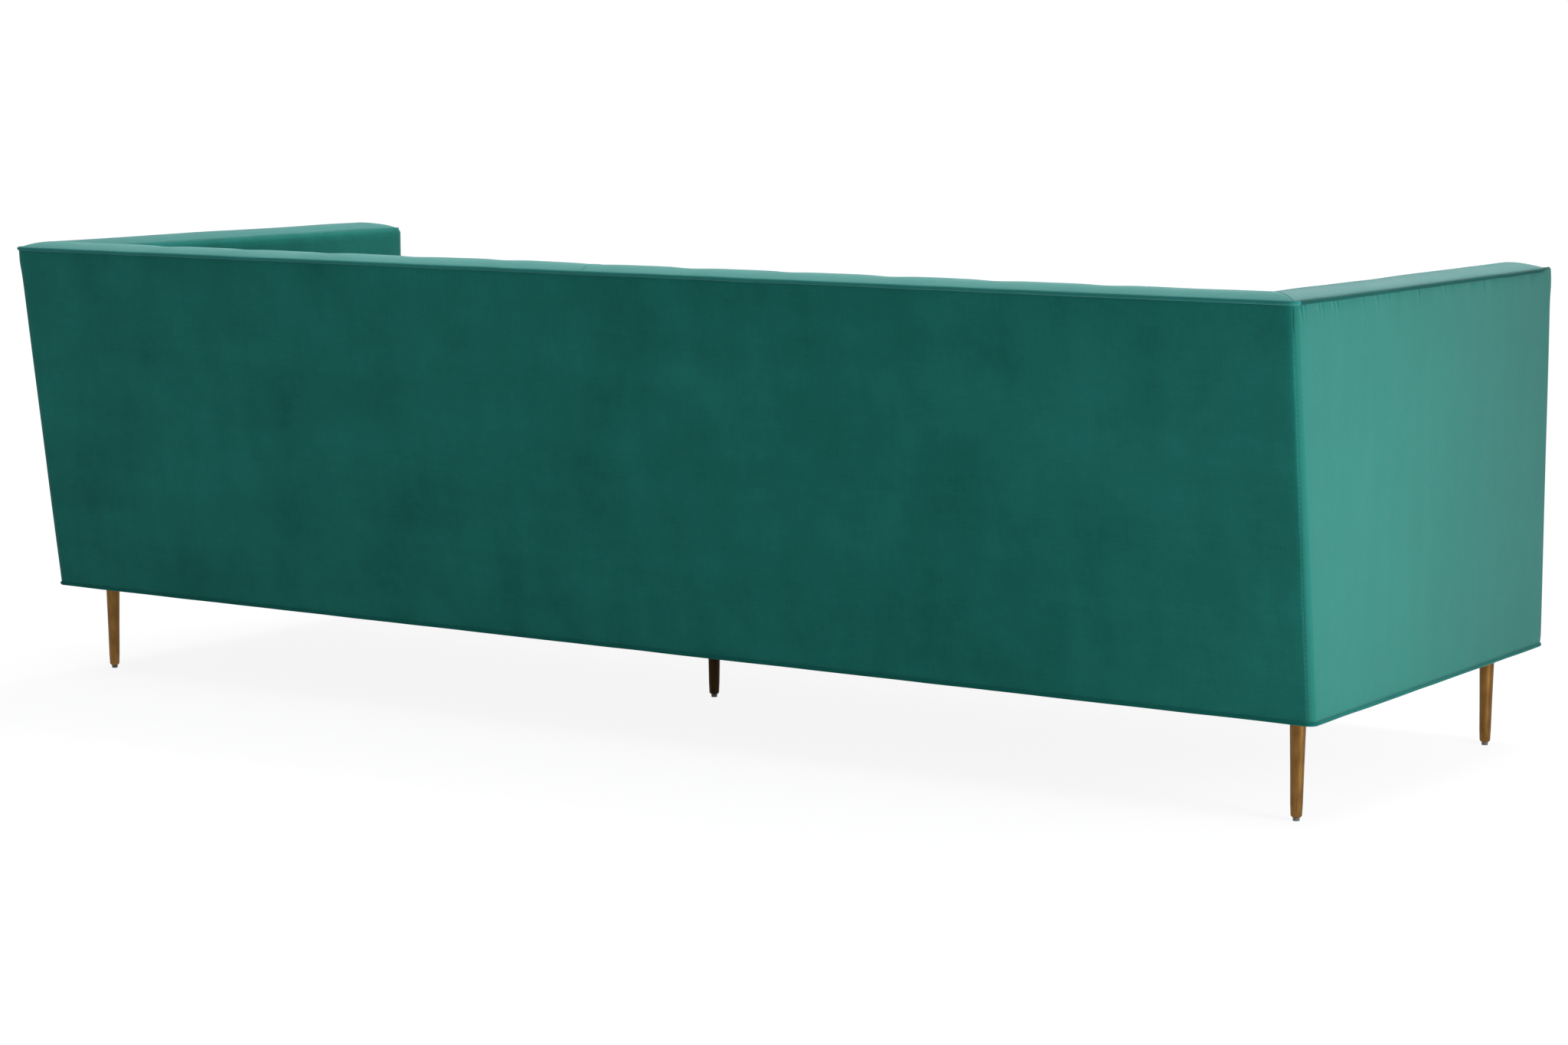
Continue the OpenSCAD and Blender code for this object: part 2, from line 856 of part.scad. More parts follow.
module arm_linings() {
    color(card)
        both_sides()
            side_slab(lining_in, frame_in, [
                [frame_front, rail_top], [web_front_y(rail_top), rail_top],
                [web_front_y(post_top), post_top], [frame_front, post_top]
            ]);
}

module arm_foams() {
    color(foam)
        both_sides()
            side_slab(arm_in + inner_cover_t, lining_in, [
                [frame_front, deck_bottom], [web_front_y(deck_bottom), deck_bottom],
                [web_front_y(post_top), post_top], [head_front_y, frame_top],
                [frame_front, frame_top]
            ]);
}

module left_inside_arm() {
    color(velvet)
        side_slab(arm_in, arm_in + inner_cover_t, [
            [front_cover_in, deck_bottom], [web_front_y(deck_bottom), deck_bottom],
            [web_front_y(post_top), post_top], [head_front_y, top_panel_z],
            [front_cover_in, top_panel_z]
        ]);
}

module right_inside_arm() {
    mirrored_x()
        left_inside_arm();
}

module left_outside_arm() {
    color(velvet)
        side_slab(half_w - cover_t, half_w, [
            [front_y, cover_z0], [board_y(cover_z0), cover_z0],
            [board_y(cover_z1), cover_z1], [front_y, cover_z1]
        ]);
}

module right_outside_arm() {
    mirrored_x()
        left_outside_arm();
}

module left_arm_front() {
    color(velvet)
        block([arm_in, front_y, cover_z0], [half_w - cover_t, front_cover_in, top_panel_z]);
}

module right_arm_front() {
    mirrored_x()
        left_arm_front();
}

module front_border() {
    color(velvet)
        block([-arm_in, front_y, cover_z0], [arm_in, front_cover_in, deck_bottom]);
}

module front_padding() {
    inner = arm_in + inner_cover_t;
    color(foam) {
        block([-arm_in, front_cover_in, cover_z0], [arm_in, frame_front, deck_bottom]);
        both_sides()
            block([inner, front_cover_in, cover_z0], [frame_out, frame_front, top_panel_z]);
    }
}

// Rounded tops, mitred where the arms meet the back

module top_padding() {
    rear = frame_y(frame_top);
    color(foam) {
        block([-arm_in, quilt_back_y(top_panel_z), frame_top], [arm_in, rear, top_panel_z]);
        both_sides()
            block([arm_in + inner_cover_t, frame_front, frame_top], [frame_out, rear, top_panel_z]);
    }
}

top_out = half_w - cord_in;
top_rear = min(head_y - cord_in, board_y(top_panel_z) - fit_gap);

across_shares = [for (k = [0:across_steps]) k / across_steps];
function mitre_x(u) = arm_in + u * (top_out - arm_in);
function mitre_y(u) = top_seam_y + u * (top_rear - top_seam_y);

// How far a channel seam pulls the top down, at a share of the way back across it
function seam_pull(column, u) =
    abs(column[0]) < arm_in ? seam_dip_share * crown_h * pow(abs(2 * column[1] - 1), 3) * (1 - u) : 0;

module back_top() {
    sections = [for (c = channel_columns(top_steps))
        let (reach = c[0] / arm_in)
        concat(
            [for (u = across_shares) [reach * mitre_x(u), mitre_y(u), edge_z + crown(u) - seam_pull(c, u)]],
            [for (u = [1, 0]) [reach * mitre_x(u), mitre_y(u), top_panel_z]]
        )];
    color(velvet)
        loft(sections, across_steps + 2);
}

module left_arm_top() {
    run_start = front_y + crown_run;
    function end_crown(share) = front_crown_share + (1 - front_crown_share) * sin(90 * share);
    sections = [for (u = across_shares)
        concat(
            [for (share = arm_front_shares)
                [mitre_x(u), front_y + share * crown_run, edge_z + crown(u) * end_crown(share)]],
            [for (share = arm_length_shares)
                [mitre_x(u), run_start + share * (mitre_y(u) - run_start), edge_z + crown(u)]],
            [[mitre_x(u), mitre_y(u), top_panel_z], [mitre_x(u), front_y, top_panel_z]]
        )];
    color(velvet)
        loft(sections, len(arm_front_shares) + len(arm_length_shares) + 1);
}

module right_arm_top() {
    mirrored_x()
        left_arm_top();
}

// Edge cords

// One straight run of cord along x, with ends cut at 45 degrees towards its inner side
module mitred_run(length, inner_side) {
    long_end = length / 2 + cord_d;
    short_end = length / 2 - cord_d;
    side = inner_side * cord_d;
    intersection() {
        cross_rod(-long_end, long_end, 0, 0, cord_d);
        translate([0, 0, -cord_d])
            linear_extrude(2 * cord_d)
                polygon([[-long_end, -side], [long_end, -side], [short_end, side], [-short_end, side]]);
    }
}

module top_cord() {
    x = half_w - cord_sink;
    y = head_y - cord_sink;
    length = y - front_y;
    color(velvet) {
        translate([0, y, edge_z])
            mitred_run(2 * x, -1);
        both_sides()
            translate([x, front_y, edge_z])
                intersection() {
                    rotate([-90, 0, 0])
                        cylinder(h = length + cord_d, d = cord_d);
                    translate([0, 0, -cord_d])
                        linear_extrude(2 * cord_d)
                            polygon([
                                [-cord_d, -overrun], [cord_d, -overrun],
                                [cord_d, length + cord_d], [-cord_d, length - cord_d]
                            ]);
                }
    }
}

module bottom_cord() {
    z = leg_h + cord_r;
    x = half_w - cord_sink;
    y0 = front_y + cord_sink;
    y1 = rear_y(z) - cord_sink;
    color(velvet)
        translate([0, 0, z]) {
            translate([0, y0, 0])
                mitred_run(2 * x, 1);
            translate([0, y1, 0])
                mitred_run(2 * x, -1);
            both_sides()
                translate([x, (y0 + y1) / 2, 0])
                    rotate([0, 0, 90])
                        mitred_run(y1 - y0, 1);
        }
}

module dust_cover() {
    color(black_cloth)
        difference() {
            block([-frame_out, frame_front, leg_h], [frame_out, foot_in, frame_z]);
            for (p = leg_places)
                translate([p[0], p[1], leg_h - overrun])
                    cylinder(h = dust_t + 2 * overrun, d = stud_d + 2 * overrun);
        }
}

// Legs

module leg(place) {
    top_r = leg_top_d / 2;
    foot_r = leg_foot_d / 2;
    color(brass)
        translate([place[0], place[1], 0])
            difference() {
                rotate_extrude()
                    polygon([
                        [0, glide_h], [foot_r - leg_chamfer, glide_h], [foot_r, glide_h + leg_chamfer],
                        [top_r, leg_h], [0, leg_h]
                    ]);
                translate([0, 0, leg_h - stud_in_leg])
                    cylinder(h = stud_in_leg + overrun, d = stud_d + 2 * fit_gap);
                translate([0, 0, glide_h - overrun])
                    cylinder(h = glide_pin_l + overrun, d = glide_pin_d + 2 * fit_gap);
            }
}

module front_left_leg() {
    leg([leg_x, leg_front_y]);
}

module front_right_leg() {
    leg([-leg_x, leg_front_y]);
}

module rear_left_leg() {
    leg([leg_x, leg_rear_y]);
}

module rear_right_leg() {
    leg([-leg_x, leg_rear_y]);
}

module middle_leg() {
    leg([mid_leg_x, mid_leg_y]);
}

module leg_glides() {
    color(grey_plastic)
        for (p = leg_places)
            translate([p[0], p[1], 0]) {
                cylinder(h = glide_h, d = glide_d);
                cylinder(h = glide_h + glide_pin_l, d = glide_pin_d);
            }
}

// Loose seat cushions

module seat_cushion_cover_left() {
    color(velvet)
        difference() {
            cushion_shape(0);
            cushion_shape(wrap_t);
        }
}

module seat_cushion_core_left() {
    color(foam)
        cushion_shape(wrap_t + seat_clear);
}

module seat_cushion_zip_left() {
    y = cushion_rear - cushion_draw * (1 - pow(zip_share, 2)) + zip_gap;
    z = cushion_z + cushion_h / 2;
    half_l = zip_share * cushion_w / 2;
    color(grey_plastic)
        translate([cushion_x, y, z]) {
            block([-half_l, 0, -zip_h / 2], [half_l, zip_t, zip_h / 2]);
            block(
                [half_l - 2 * slider_l, zip_t, -slider_l / 2],
                [half_l - slider_l, zip_t + slider_t, slider_l / 2]
            );
        }
}

module seat_cushion_cover_right() {
    mirrored_x()
        seat_cushion_cover_left();
}

module seat_cushion_core_right() {
    mirrored_x()
        seat_cushion_core_left();
}

module seat_cushion_zip_right() {
    mirrored_x()
        seat_cushion_zip_left();
}

front_seat_rail();
rear_seat_rail();
left_seat_rail();
right_seat_rail();
centre_stretchers();
corner_plates();
middle_leg_plate();
corner_blocks();
left_arm_posts();
right_arm_posts();
left_arm_rails();
right_arm_rails();
back_ribs();
back_top_rail();
back_tack_rail();
insert_nuts();
leg_studs();
frame_screws();
arm_bolts();
arm_bolt_nuts();
seat_springs();
spring_clips();
spring_ties();
seat_felt();
seat_deck();
back_webbing();
back_foam();
inside_back();
arm_linings();
arm_foams();
left_inside_arm();
right_inside_arm();
top_padding();
back_top();
left_arm_top();
right_arm_top();
front_padding();
left_arm_front();
right_arm_front();
front_border();
outside_lining_boards();
tack_strips();
outside_back();
left_outside_arm();
right_outside_arm();
top_cord();
bottom_cord();
dust_cover();
front_left_leg();
front_right_leg();
rear_left_leg();
rear_right_leg();
middle_leg();
leg_glides();
seat_cushion_cover_left();
seat_cushion_cover_right();
seat_cushion_core_left();
seat_cushion_core_right();
seat_cushion_zip_left();
seat_cushion_zip_right();
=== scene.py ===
import json
import math

import bpy
import numpy as np
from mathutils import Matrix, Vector, noise


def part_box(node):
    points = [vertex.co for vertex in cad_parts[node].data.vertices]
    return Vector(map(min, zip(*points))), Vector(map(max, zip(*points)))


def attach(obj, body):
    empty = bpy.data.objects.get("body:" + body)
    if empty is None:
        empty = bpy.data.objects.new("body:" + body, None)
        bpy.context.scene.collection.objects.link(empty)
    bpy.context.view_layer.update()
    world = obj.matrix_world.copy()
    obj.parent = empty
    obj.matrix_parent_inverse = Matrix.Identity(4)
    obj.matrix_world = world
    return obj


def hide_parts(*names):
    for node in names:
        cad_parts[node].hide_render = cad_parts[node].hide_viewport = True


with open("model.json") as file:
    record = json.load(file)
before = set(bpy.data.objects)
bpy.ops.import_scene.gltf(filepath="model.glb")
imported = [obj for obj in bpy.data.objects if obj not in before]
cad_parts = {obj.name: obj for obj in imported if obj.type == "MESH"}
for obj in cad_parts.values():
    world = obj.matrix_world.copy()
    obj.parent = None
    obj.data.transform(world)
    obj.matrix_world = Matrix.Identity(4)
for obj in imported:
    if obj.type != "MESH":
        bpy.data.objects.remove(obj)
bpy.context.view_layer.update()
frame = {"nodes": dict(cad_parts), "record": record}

# %% [markdown]
# # A velvet sofa with arms as high as its back
# The imported CAD model is the frame of this lesson: its timber, springs, foam and screws stay as
# they are, and each cloth part is made again over it with the folds, seams and finish of the real
# thing. Nothing here may change the sofa's size.

# %% [markdown]
# ## The view
# The photographer stood behind the sofa, past its right-hand end and a little above it, and used a
# long lens, so that the far end hardly looks smaller. The camera's place and direction were worked
# out from the corners of the body and the feet of the legs.

# %% Camera
eye = Vector((-3.360, 4.918, 1.096))
sight = Vector((0.5508, -0.8244, -0.1306))
bpy.ops.object.camera_add(location=eye, rotation=sight.to_track_quat("-Z", "Y").to_euler())
camera = bpy.context.object
camera.data.sensor_width = 36
camera.data.lens = 83
bpy.context.scene.camera = camera
bpy.context.scene.view_settings.view_transform = "Standard"
print("camera", tuple(eye), "lens", camera.data.lens)

# %% [markdown]
# ## Helpers for nodes
# A finish is a small graph of shader nodes. A few short helpers keep the cells readable: they add
# a node with its settings and wires, give a noise that is stretched along an axis, add up noises
# by weight, and turn the sum into a colour or into a relief.

# %% Node helpers
def feed(tree, node, inputs):
    """Gives a node its inputs: a socket is wired in, a number or a colour is set."""
    for key, value in inputs.items():
        if isinstance(value, bpy.types.NodeSocket):
            tree.links.new(value, node.inputs[key])
        else:
            node.inputs[key].default_value = value
    return node


def wire(tree, kind, inputs=None, **settings):
    """Adds a node with its settings and inputs."""
    made = tree.nodes.new(kind)
    for key, value in settings.items():
        setattr(made, key, value)
    return feed(tree, made, inputs or {})


def blank_finish(name):
    """A material with its tree, its surface node and the piece's own coordinates."""
    finish = bpy.data.materials.new(name)
    finish.use_nodes = True
    tree = finish.node_tree
    place = wire(tree, "ShaderNodeTexCoord").outputs["Object"]
    return finish, tree, tree.nodes["Principled BSDF"], place


# %% Noises and sums
def cloud(tree, place, stretch, detail=2.0, rough=0.5):
    """A noise from 0 to 1 with so many lumps a metre, along each axis or all round."""
    stretch = stretch if isinstance(stretch, tuple) else (stretch,) * 3
    scaled = wire(tree, "ShaderNodeMapping", {"Vector": place, "Scale": stretch})
    inputs = {"Vector": scaled.outputs[0], "Scale": 1.0, "Detail": detail, "Roughness": rough}
    return wire(tree, "ShaderNodeTexNoise", inputs).outputs["Fac"]


def sums(tree, kind, a, b):
    return wire(tree, "ShaderNodeMath", {0: a, 1: b}, operation=kind).outputs[0]


def blend(tree, *parts):
    """Adds up (noise, weight) pairs."""
    total, *others = (sums(tree, "MULTIPLY", part, weight) for part, weight in parts)
    for other in others:
        total = sums(tree, "ADD", total, other)
    return total


def ranged(tree, value, low, high, to_low, to_high):
    """Moves a value from one range into another, and stops it at the ends."""
    ends = {"From Min": low, "From Max": high, "To Min": to_low, "To Max": to_high}
    return wire(tree, "ShaderNodeMapRange", {"Value": value, **ends}).outputs[0]


# %% Colour, relief and rays
def tones(tree, factor, deep, lit, start=0.3, end=0.7):
    """A colour that goes from deep to lit between two values of the factor."""
    ramp = wire(tree, "ShaderNodeValToRGB", {"Fac": factor})
    for stop, at, colour in zip(ramp.color_ramp.elements, (start, end), (deep, lit)):
        stop.position = at
        stop.color = (*colour, 1)
    return ramp.outputs["Color"]


def relief(tree, height, depth, under=None):
    """A bump of a real depth in metres, with a second bump under it if there is one."""
    inputs = {"Height": height, "Strength": 1.0, "Distance": depth}
    if under is not None:
        inputs["Normal"] = under
    return wire(tree, "ShaderNodeBump", inputs).outputs["Normal"]


def camera_sees(tree):
    """1 where a ray comes from the camera, also by a mirror or through glass, and else 0."""
    rays = wire(tree, "ShaderNodeLightPath").outputs
    seen = sums(tree, "MAXIMUM", rays["Is Camera Ray"], rays["Is Glossy Ray"])
    return sums(tree, "MAXIMUM", seen, rays["Is Transmission Ray"])


# %% [markdown]
# ## Room and light
# The photograph is a studio picture: white all round, and lit so that the near end glows, the long
# back stays deep, and every top edge catches pale light. Two lamps stand past the near end, the
# smaller one close to the rear corner. Two hang overhead for the tops, and one each fills the back
# and the front from far off. The floor is a real floor for the light, but the camera sees it as
# near white with only a soft shadow.

# %% Floor
bpy.ops.object.select_all(action="DESELECT")
bpy.ops.mesh.primitive_plane_add(size=120)
floor = bpy.context.object
floor.name = "studio_floor"

paper, tree, skin, place = blank_finish("white_paper")
tree.nodes.remove(skin)
plain, faint = (
    wire(tree, "ShaderNodeBsdfDiffuse", {"Color": (grey, grey, grey, 1)}).outputs[0]
    for grey in (0.8, 0.16)
)
far = wire(tree, "ShaderNodeVectorMath", {0: place}, operation="LENGTH").outputs["Value"]
brighter = ranged(tree, far, 2.2, 7.0, 0.90, 1.0)
glow = wire(tree, "ShaderNodeEmission", {"Strength": brighter}).outputs[0]
shown = wire(tree, "ShaderNodeAddShader", {0: glow, 1: faint}).outputs[0]
mixed = wire(tree, "ShaderNodeMixShader", {0: camera_sees(tree), 1: plain, 2: shown})
feed(tree, tree.nodes["Material Output"], {"Surface": mixed.outputs[0]})
floor.data.materials.append(paper)
print("floor", floor.name, "of", paper.name)

# %% Backdrop
room = bpy.data.worlds.new("studio")
bpy.context.scene.world = room
room.use_nodes = True
tree = room.node_tree
fill, white = (
    wire(tree, "ShaderNodeBackground", {"Color": colour, "Strength": strength}).outputs[0]
    for colour, strength in (((0.93, 0.97, 1, 1), 0.20), ((1, 1, 1, 1), 1.0))
)
mixed = wire(tree, "ShaderNodeMixShader", {0: camera_sees(tree), 1: fill, 2: white})
feed(tree, tree.nodes["World Output"], {"Surface": mixed.outputs[0]})
print("backdrop", room.name)


# %% Lamps
def softbox(name, place, aim, width, height, power):
    """A big square lamp that looks at a point."""
    turn = (Vector(aim) - Vector(place)).to_track_quat("-Z", "Y").to_euler()
    bpy.ops.object.light_add(type="AREA", location=place, rotation=turn)
    lamp = bpy.context.object
    lamp.name = name
    lamp.data.shape = "RECTANGLE"
    lamp.data.size, lamp.data.size_y = width, height
    lamp.data.energy = power


# Each lamp's name, place, aim, width, height and watts.
softbox("end_softbox", (-3.3, 0.35, 1.25), (-1.2, -0.05, 0.45), 1.5, 1.6, 8)
softbox("end_kicker", (-2.3, 0.44, 0.46), (-1.2, 0.34, 0.43), 0.6, 0.7, 13)
softbox("top_softbox", (0.3, 0.1, 3.6), (0.2, 0, 0.5), 4.5, 3.0, 68)
softbox("crest_softbox", (0, -1.3, 3.4), (0, 0.3, 0.7), 4.5, 1.2, 66)
softbox("rear_fill", (1.2, 5.0, 1.8), (0, 0.4, 0.45), 3.4, 2.0, 14)
softbox("front_fill", (0.6, -4.6, 2.4), (0, -0.4, 0.45), 3.0, 2.0, 55)

# %% [markdown]
# ## Velvet
# Velvet is a short upright pile. Looked at square on, the light falls between the hairs and the
# cloth is deep; looked at along the surface, the sides of the hairs shine pale. The sheen lobe of
# the surface node does just that. The pile also leans here and there where hands have stroked it,
# so soft patches and faint upright and level streaks vary the tone, and a fine grain breaks it up.
# On the tops the base colour is paler as painted sheen, for the pale shine of the pile seen along
# them, so they get finishes of their own. So does the welt: paler along the back, as painted sheen,
# and deeper along the arms, as painted shade.

# %% Velvet
pile_shine = (0.76, 0.90, 0.93, 1)


def velvet(name, deep, lit, shine, mottle=1.0, grain_depth=0.00022):
    """The mottle is how strongly the patches show."""
    finish, tree, skin, place = blank_finish(name)
    patches = cloud(tree, place, 6.5, detail=6.0, rough=0.62)
    streaks = [cloud(tree, place, way) for way in ((21, 21, 1.6), (1.6, 1.6, 19))]
    wisps = [cloud(tree, place, way, detail=3.0) for way in ((42, 42, 250), (240, 240, 36))]
    grain = cloud(tree, place, 900, rough=0.7)
    parts = [(patches, 0.44), *((s, 0.12) for s in streaks), *((w, 0.11) for w in wisps)]
    tone = blend(tree, *parts, (grain, 0.10))
    spread = 0.17 / mottle
    brushed = relief(tree, patches, 0.0022 * min(mottle, 1))
    feed(tree, skin, {
        "Base Color": tones(tree, tone, deep, lit, 0.5 - spread, 0.5 + spread),
        "Roughness": ranged(tree, patches, 0.3, 0.7, 0.42, 0.58),
        "Normal": relief(tree, grain, grain_depth, brushed),
        "IOR": 1.12, "Specular IOR Level": 0.03,
        "Sheen Weight": shine, "Sheen Roughness": 0.34, "Sheen Tint": pile_shine,
    })
    return finish


# %% One cloth, seven looks
cover_velvet = velvet("teal_velvet", (0.0110, 0.146, 0.120), (0.0186, 0.219, 0.182), 0.75, 1.35)
smooth_velvet = velvet(
    "teal_velvet_stroked", (0.0180, 0.152, 0.126), (0.0260, 0.202, 0.168), 0.75, 0.45
)
# Painted sheen: the finishes of the tops get a paler base colour for the shine of the pile along
# them.
back_top_painted_sheen = velvet(
    "teal_velvet_pale", (0.085, 0.30, 0.272), (0.135, 0.385, 0.350), 0.40, 0.8
)
arm_top_painted_sheen = velvet(
    "teal_velvet_brushed", (0.058, 0.225, 0.205), (0.092, 0.295, 0.270), 0.42, 0.8
)
cord_look = (0.45, 0.6, 0.0003)
cord_velvet = velvet(
    "teal_velvet_on_cord", (0.0052, 0.105, 0.088), (0.0090, 0.165, 0.138), *cord_look
)
# Painted sheen and painted shade: a paler copy of the cord velvet for the back's welt and a deeper
# one for the arms' welt.
back_welt_painted_sheen = velvet(
    "teal_velvet_on_back_cord", (0.026, 0.185, 0.165), (0.043, 0.275, 0.248), *cord_look
)
arm_welt_painted_shade = velvet(
    "teal_velvet_on_arm_cord", (0.0038, 0.062, 0.053), (0.0060, 0.100, 0.085), 0.28, 0.6, 0.0003
)
print("velvet", [finish.name for finish in bpy.data.materials if "velvet" in finish.name])

# %% [markdown]
# ## Metal, timber and the cloths inside
# The legs are turned steel with a thin brown-gold coat, brushed along their length. The frame is
# pale sawn timber with plywood plates, and what lies under the velvet is ordinary workshop stuff:
# grey board, felt, black webbing, yellow foam and a black cloth below. Each gets the pattern that
# it has in the hand, at its real scale.

# %% Brass
def aged_brass(name, deep, lit):
    """Fine brushing along the leg over slow stains."""
    finish, tree, skin, place = blank_finish(name)
    brushing = cloud(tree, place, (900, 900, 25), detail=3.0)
    stains = cloud(tree, place, (60, 60, 30), detail=3.0)
    tone = blend(tree, (brushing, 0.45), (stains, 0.55))
    feed(tree, skin, {
        "Base Color": tones(tree, tone, deep, lit, 0.36, 0.66),
        "Roughness": ranged(tree, stains, 0, 1, 0.34, 0.52),
        "Normal": relief(tree, brushing, 0.00004), "Metallic": 0.9,
    })
    return finish


# %% Timber, board and cloth finishes
def grained(name, deep, lit, marks, specks, rough, depth, metal=0.0):
    """Large marks and fine specks, both in lumps a metre."""
    finish, tree, skin, place = blank_finish(name)
    large = cloud(tree, place, marks, detail=4.0, rough=0.6)
    tone = blend(tree, (large, 0.7), (cloud(tree, place, specks, rough=0.7), 0.3))
    colour = tones(tree, tone, deep, lit)
    bumps = relief(tree, tone, depth)
    feed(tree, skin, {
        "Base Color": colour, "Roughness": rough, "Metallic": metal, "Normal": bumps
    })
    return finish


def woven(name, deep, lit, threads, rough, depth):
    """A plain weave: sets of threads that cross, with uneven yarn."""
    finish, tree, skin, place = blank_finish(name)
    yarn = {"Vector": place, "Scale": threads, "Distortion": 1.2, "Detail": 1, "Detail Scale": 2}
    sets = [
        wire(tree, "ShaderNodeTexWave", yarn, bands_direction=way).outputs["Fac"] for way in "XYZ"
    ]
    weave = blend(tree, *((one_set, 0.33) for one_set in sets))
    tone = blend(tree, (weave, 0.6), (cloud(tree, place, 60, detail=3.0), 0.4))
    feed(tree, skin, {
        "Base Color": tones(tree, tone, deep, lit), "Roughness": rough,
        "Normal": relief(tree, weave, depth),
    })
    return finish


# %% A finish for every slot
finishes = {
    "velvet": cover_velvet,
    "velvet_cord": cord_velvet,
    "aged_brass": aged_brass("aged_brass", (0.128, 0.062, 0.0145), (0.232, 0.120, 0.033)),
    "glide_plastic": grained(
        "grey_plastic", (0.10, 0.10, 0.095), (0.17, 0.165, 0.16), 160, 1500, 0.5, 0.00003
    ),
    "timber": grained(
        "sawn_timber", (0.42, 0.25, 0.115), (0.66, 0.45, 0.25),
        (3, 45, 45), (40, 600, 600), 0.72, 0.0002,
    ),
    "plywood": grained(
        "plywood", (0.50, 0.33, 0.16), (0.70, 0.52, 0.31),
        (9, 5, 320), (60, 60, 900), 0.66, 0.0002,
    ),
    "steel": grained(
        "zinc_steel", (0.34, 0.35, 0.36), (0.55, 0.55, 0.56), 90, 1200, 0.38, 0.00002, metal=1.0
    ),
    "card": grained(
        "grey_board", (0.30, 0.235, 0.16), (0.44, 0.36, 0.26), 30, 900, 0.9, 0.0001
    ),
    "felt": grained(
        "grey_felt", (0.16, 0.16, 0.165), (0.33, 0.32, 0.31), 80, 1400, 0.97, 0.0004
    ),
    "foam": grained(
        "yellow_foam", (0.66, 0.58, 0.36), (0.83, 0.77, 0.56), 300, 1600, 0.95, 0.0004
    ),
    "webbing": woven(
        "black_webbing", (0.010, 0.010, 0.011), (0.045, 0.045, 0.048), 160, 0.8, 0.0002
    ),
    "dust_cloth": woven(
        "black_cambric", (0.007, 0.007, 0.008), (0.030, 0.030, 0.033), 420, 0.9, 0.0001
    ),
    "zip_plastic": woven(
        "zip_tape", (0.010, 0.035, 0.032), (0.030, 0.075, 0.068), 500, 0.7, 0.0001
    ),
}
# Painted shade: this brass is darkened almost to black for the middle leg, which stands in the
# shade under the sofa.
brass_with_painted_shade = aged_brass("brass_with_painted_shade", (0.010, 0.0046, 0.0003), (0.024, 0.0100, 0.0006))
for part in frame["record"]["subparts"]:
    slots = frame["nodes"][part["node"]].data.materials
    slots.clear()
    slots.append(finishes[part["material_slot"]])

# %% [markdown]
# ## Hands and tools
# These helpers stand for what the hand does in the editor: hold one piece, select by place, cut
# strips, turn cloth over an edge. A panel starts as a plane, gets narrow loops along its rim with
# Inset, so that its edge can roll in at the seam, and is then cut into strips both ways.

# %% Selecting
def clear():
    if bpy.context.mode != "OBJECT":
        bpy.ops.object.mode_set(mode="OBJECT")
    bpy.ops.object.select_all(action="DESELECT")


def hold(*pieces):
    clear()
    for piece in pieces:
        piece.select_set(True)
    bpy.context.view_layer.objects.active = pieces[0]


def edit(piece, kind, test=None):
    """Edit mode with all selected, or only the corners or edges that pass the test."""
    hold(piece)
    bpy.ops.object.mode_set(mode="EDIT")
    bpy.ops.mesh.select_mode(type=kind)
    bpy.ops.mesh.select_all(action="DESELECT" if test else "SELECT")
    if test is None:
        return
    bpy.ops.object.mode_set(mode="OBJECT")
    mesh = piece.data
    if kind == "VERT":
        for corner in mesh.vertices:
            corner.select = test(corner.co)
    else:
        for edge in mesh.edges:
            a, b = (mesh.vertices[i].co for i in edge.vertices)
            edge.select = test(b - a)
    bpy.ops.object.mode_set(mode="EDIT")


def runs_along(axis, shortest=0.0):
    """A test for edges that run along the axis and aren't too short."""
    return lambda way: way.length > shortest and abs(way[axis]) > 0.9 * way.length


# %% Settling, joining and copying
def settle(piece):
    """Puts the piece's place, turn and size into its mesh."""
    hold(piece)
    bpy.ops.object.transform_apply(location=True, rotation=True, scale=True)
    return piece


def fresh(name, scale=(1, 1, 1)):
    """Names the piece that was just added, and settles it at its size."""
    piece = bpy.context.object
    piece.name = piece.data.name = name
    piece.scale = scale
    return settle(piece)


def join(name, pieces):
    hold(*pieces)
    if len(pieces) > 1:
        bpy.ops.object.join()
    pieces[0].name = pieces[0].data.name = name
    return pieces[0]


def twin(piece):
    """A copy with a mesh of its own."""
    made = piece.copy()
    made.data = piece.data.copy()
    bpy.context.scene.collection.objects.link(made)
    return made


def scatter(piece, spots):
    """Puts a copy at each (place, turn), joins them under the piece's name, and drops it."""
    name, copies = piece.name, []
    for place, turn in spots:
        copies.append(twin(piece))
        copies[-1].location, copies[-1].rotation_euler = place, turn
        settle(copies[-1])
    bpy.data.objects.remove(piece)
    return join(name, copies)


# %% Panels, blocks and strips
TURNS = {
    "left": (0, math.pi / 2, 0), "right": (0, -math.pi / 2, 0),
    "rear": (-math.pi / 2, 0, 0), "front": (math.pi / 2, 0, 0),
    "up": (0, 0, 0), "down": (math.pi, 0, 0),
}
RIM_LOOPS = (0.0005, 0.0007, 0.0012, 0.0022)
SIDES = ((1, "left"), (-1, "right"))


def panel(name, facing, low, high):
    """A flat face between two corners that share the coordinate that it faces along."""
    middle = [(a + b) / 2 for a, b in zip(low, high)]
    x, y, z = (b - a for a, b in zip(low, high))
    clear()
    bpy.ops.mesh.primitive_plane_add(size=1, location=middle, rotation=TURNS[facing])
    upright = {"left": (z, y, 1), "right": (z, y, 1), "rear": (x, z, 1), "front": (x, z, 1)}
    return fresh(name, upright.get(facing, (x, y, 1)))


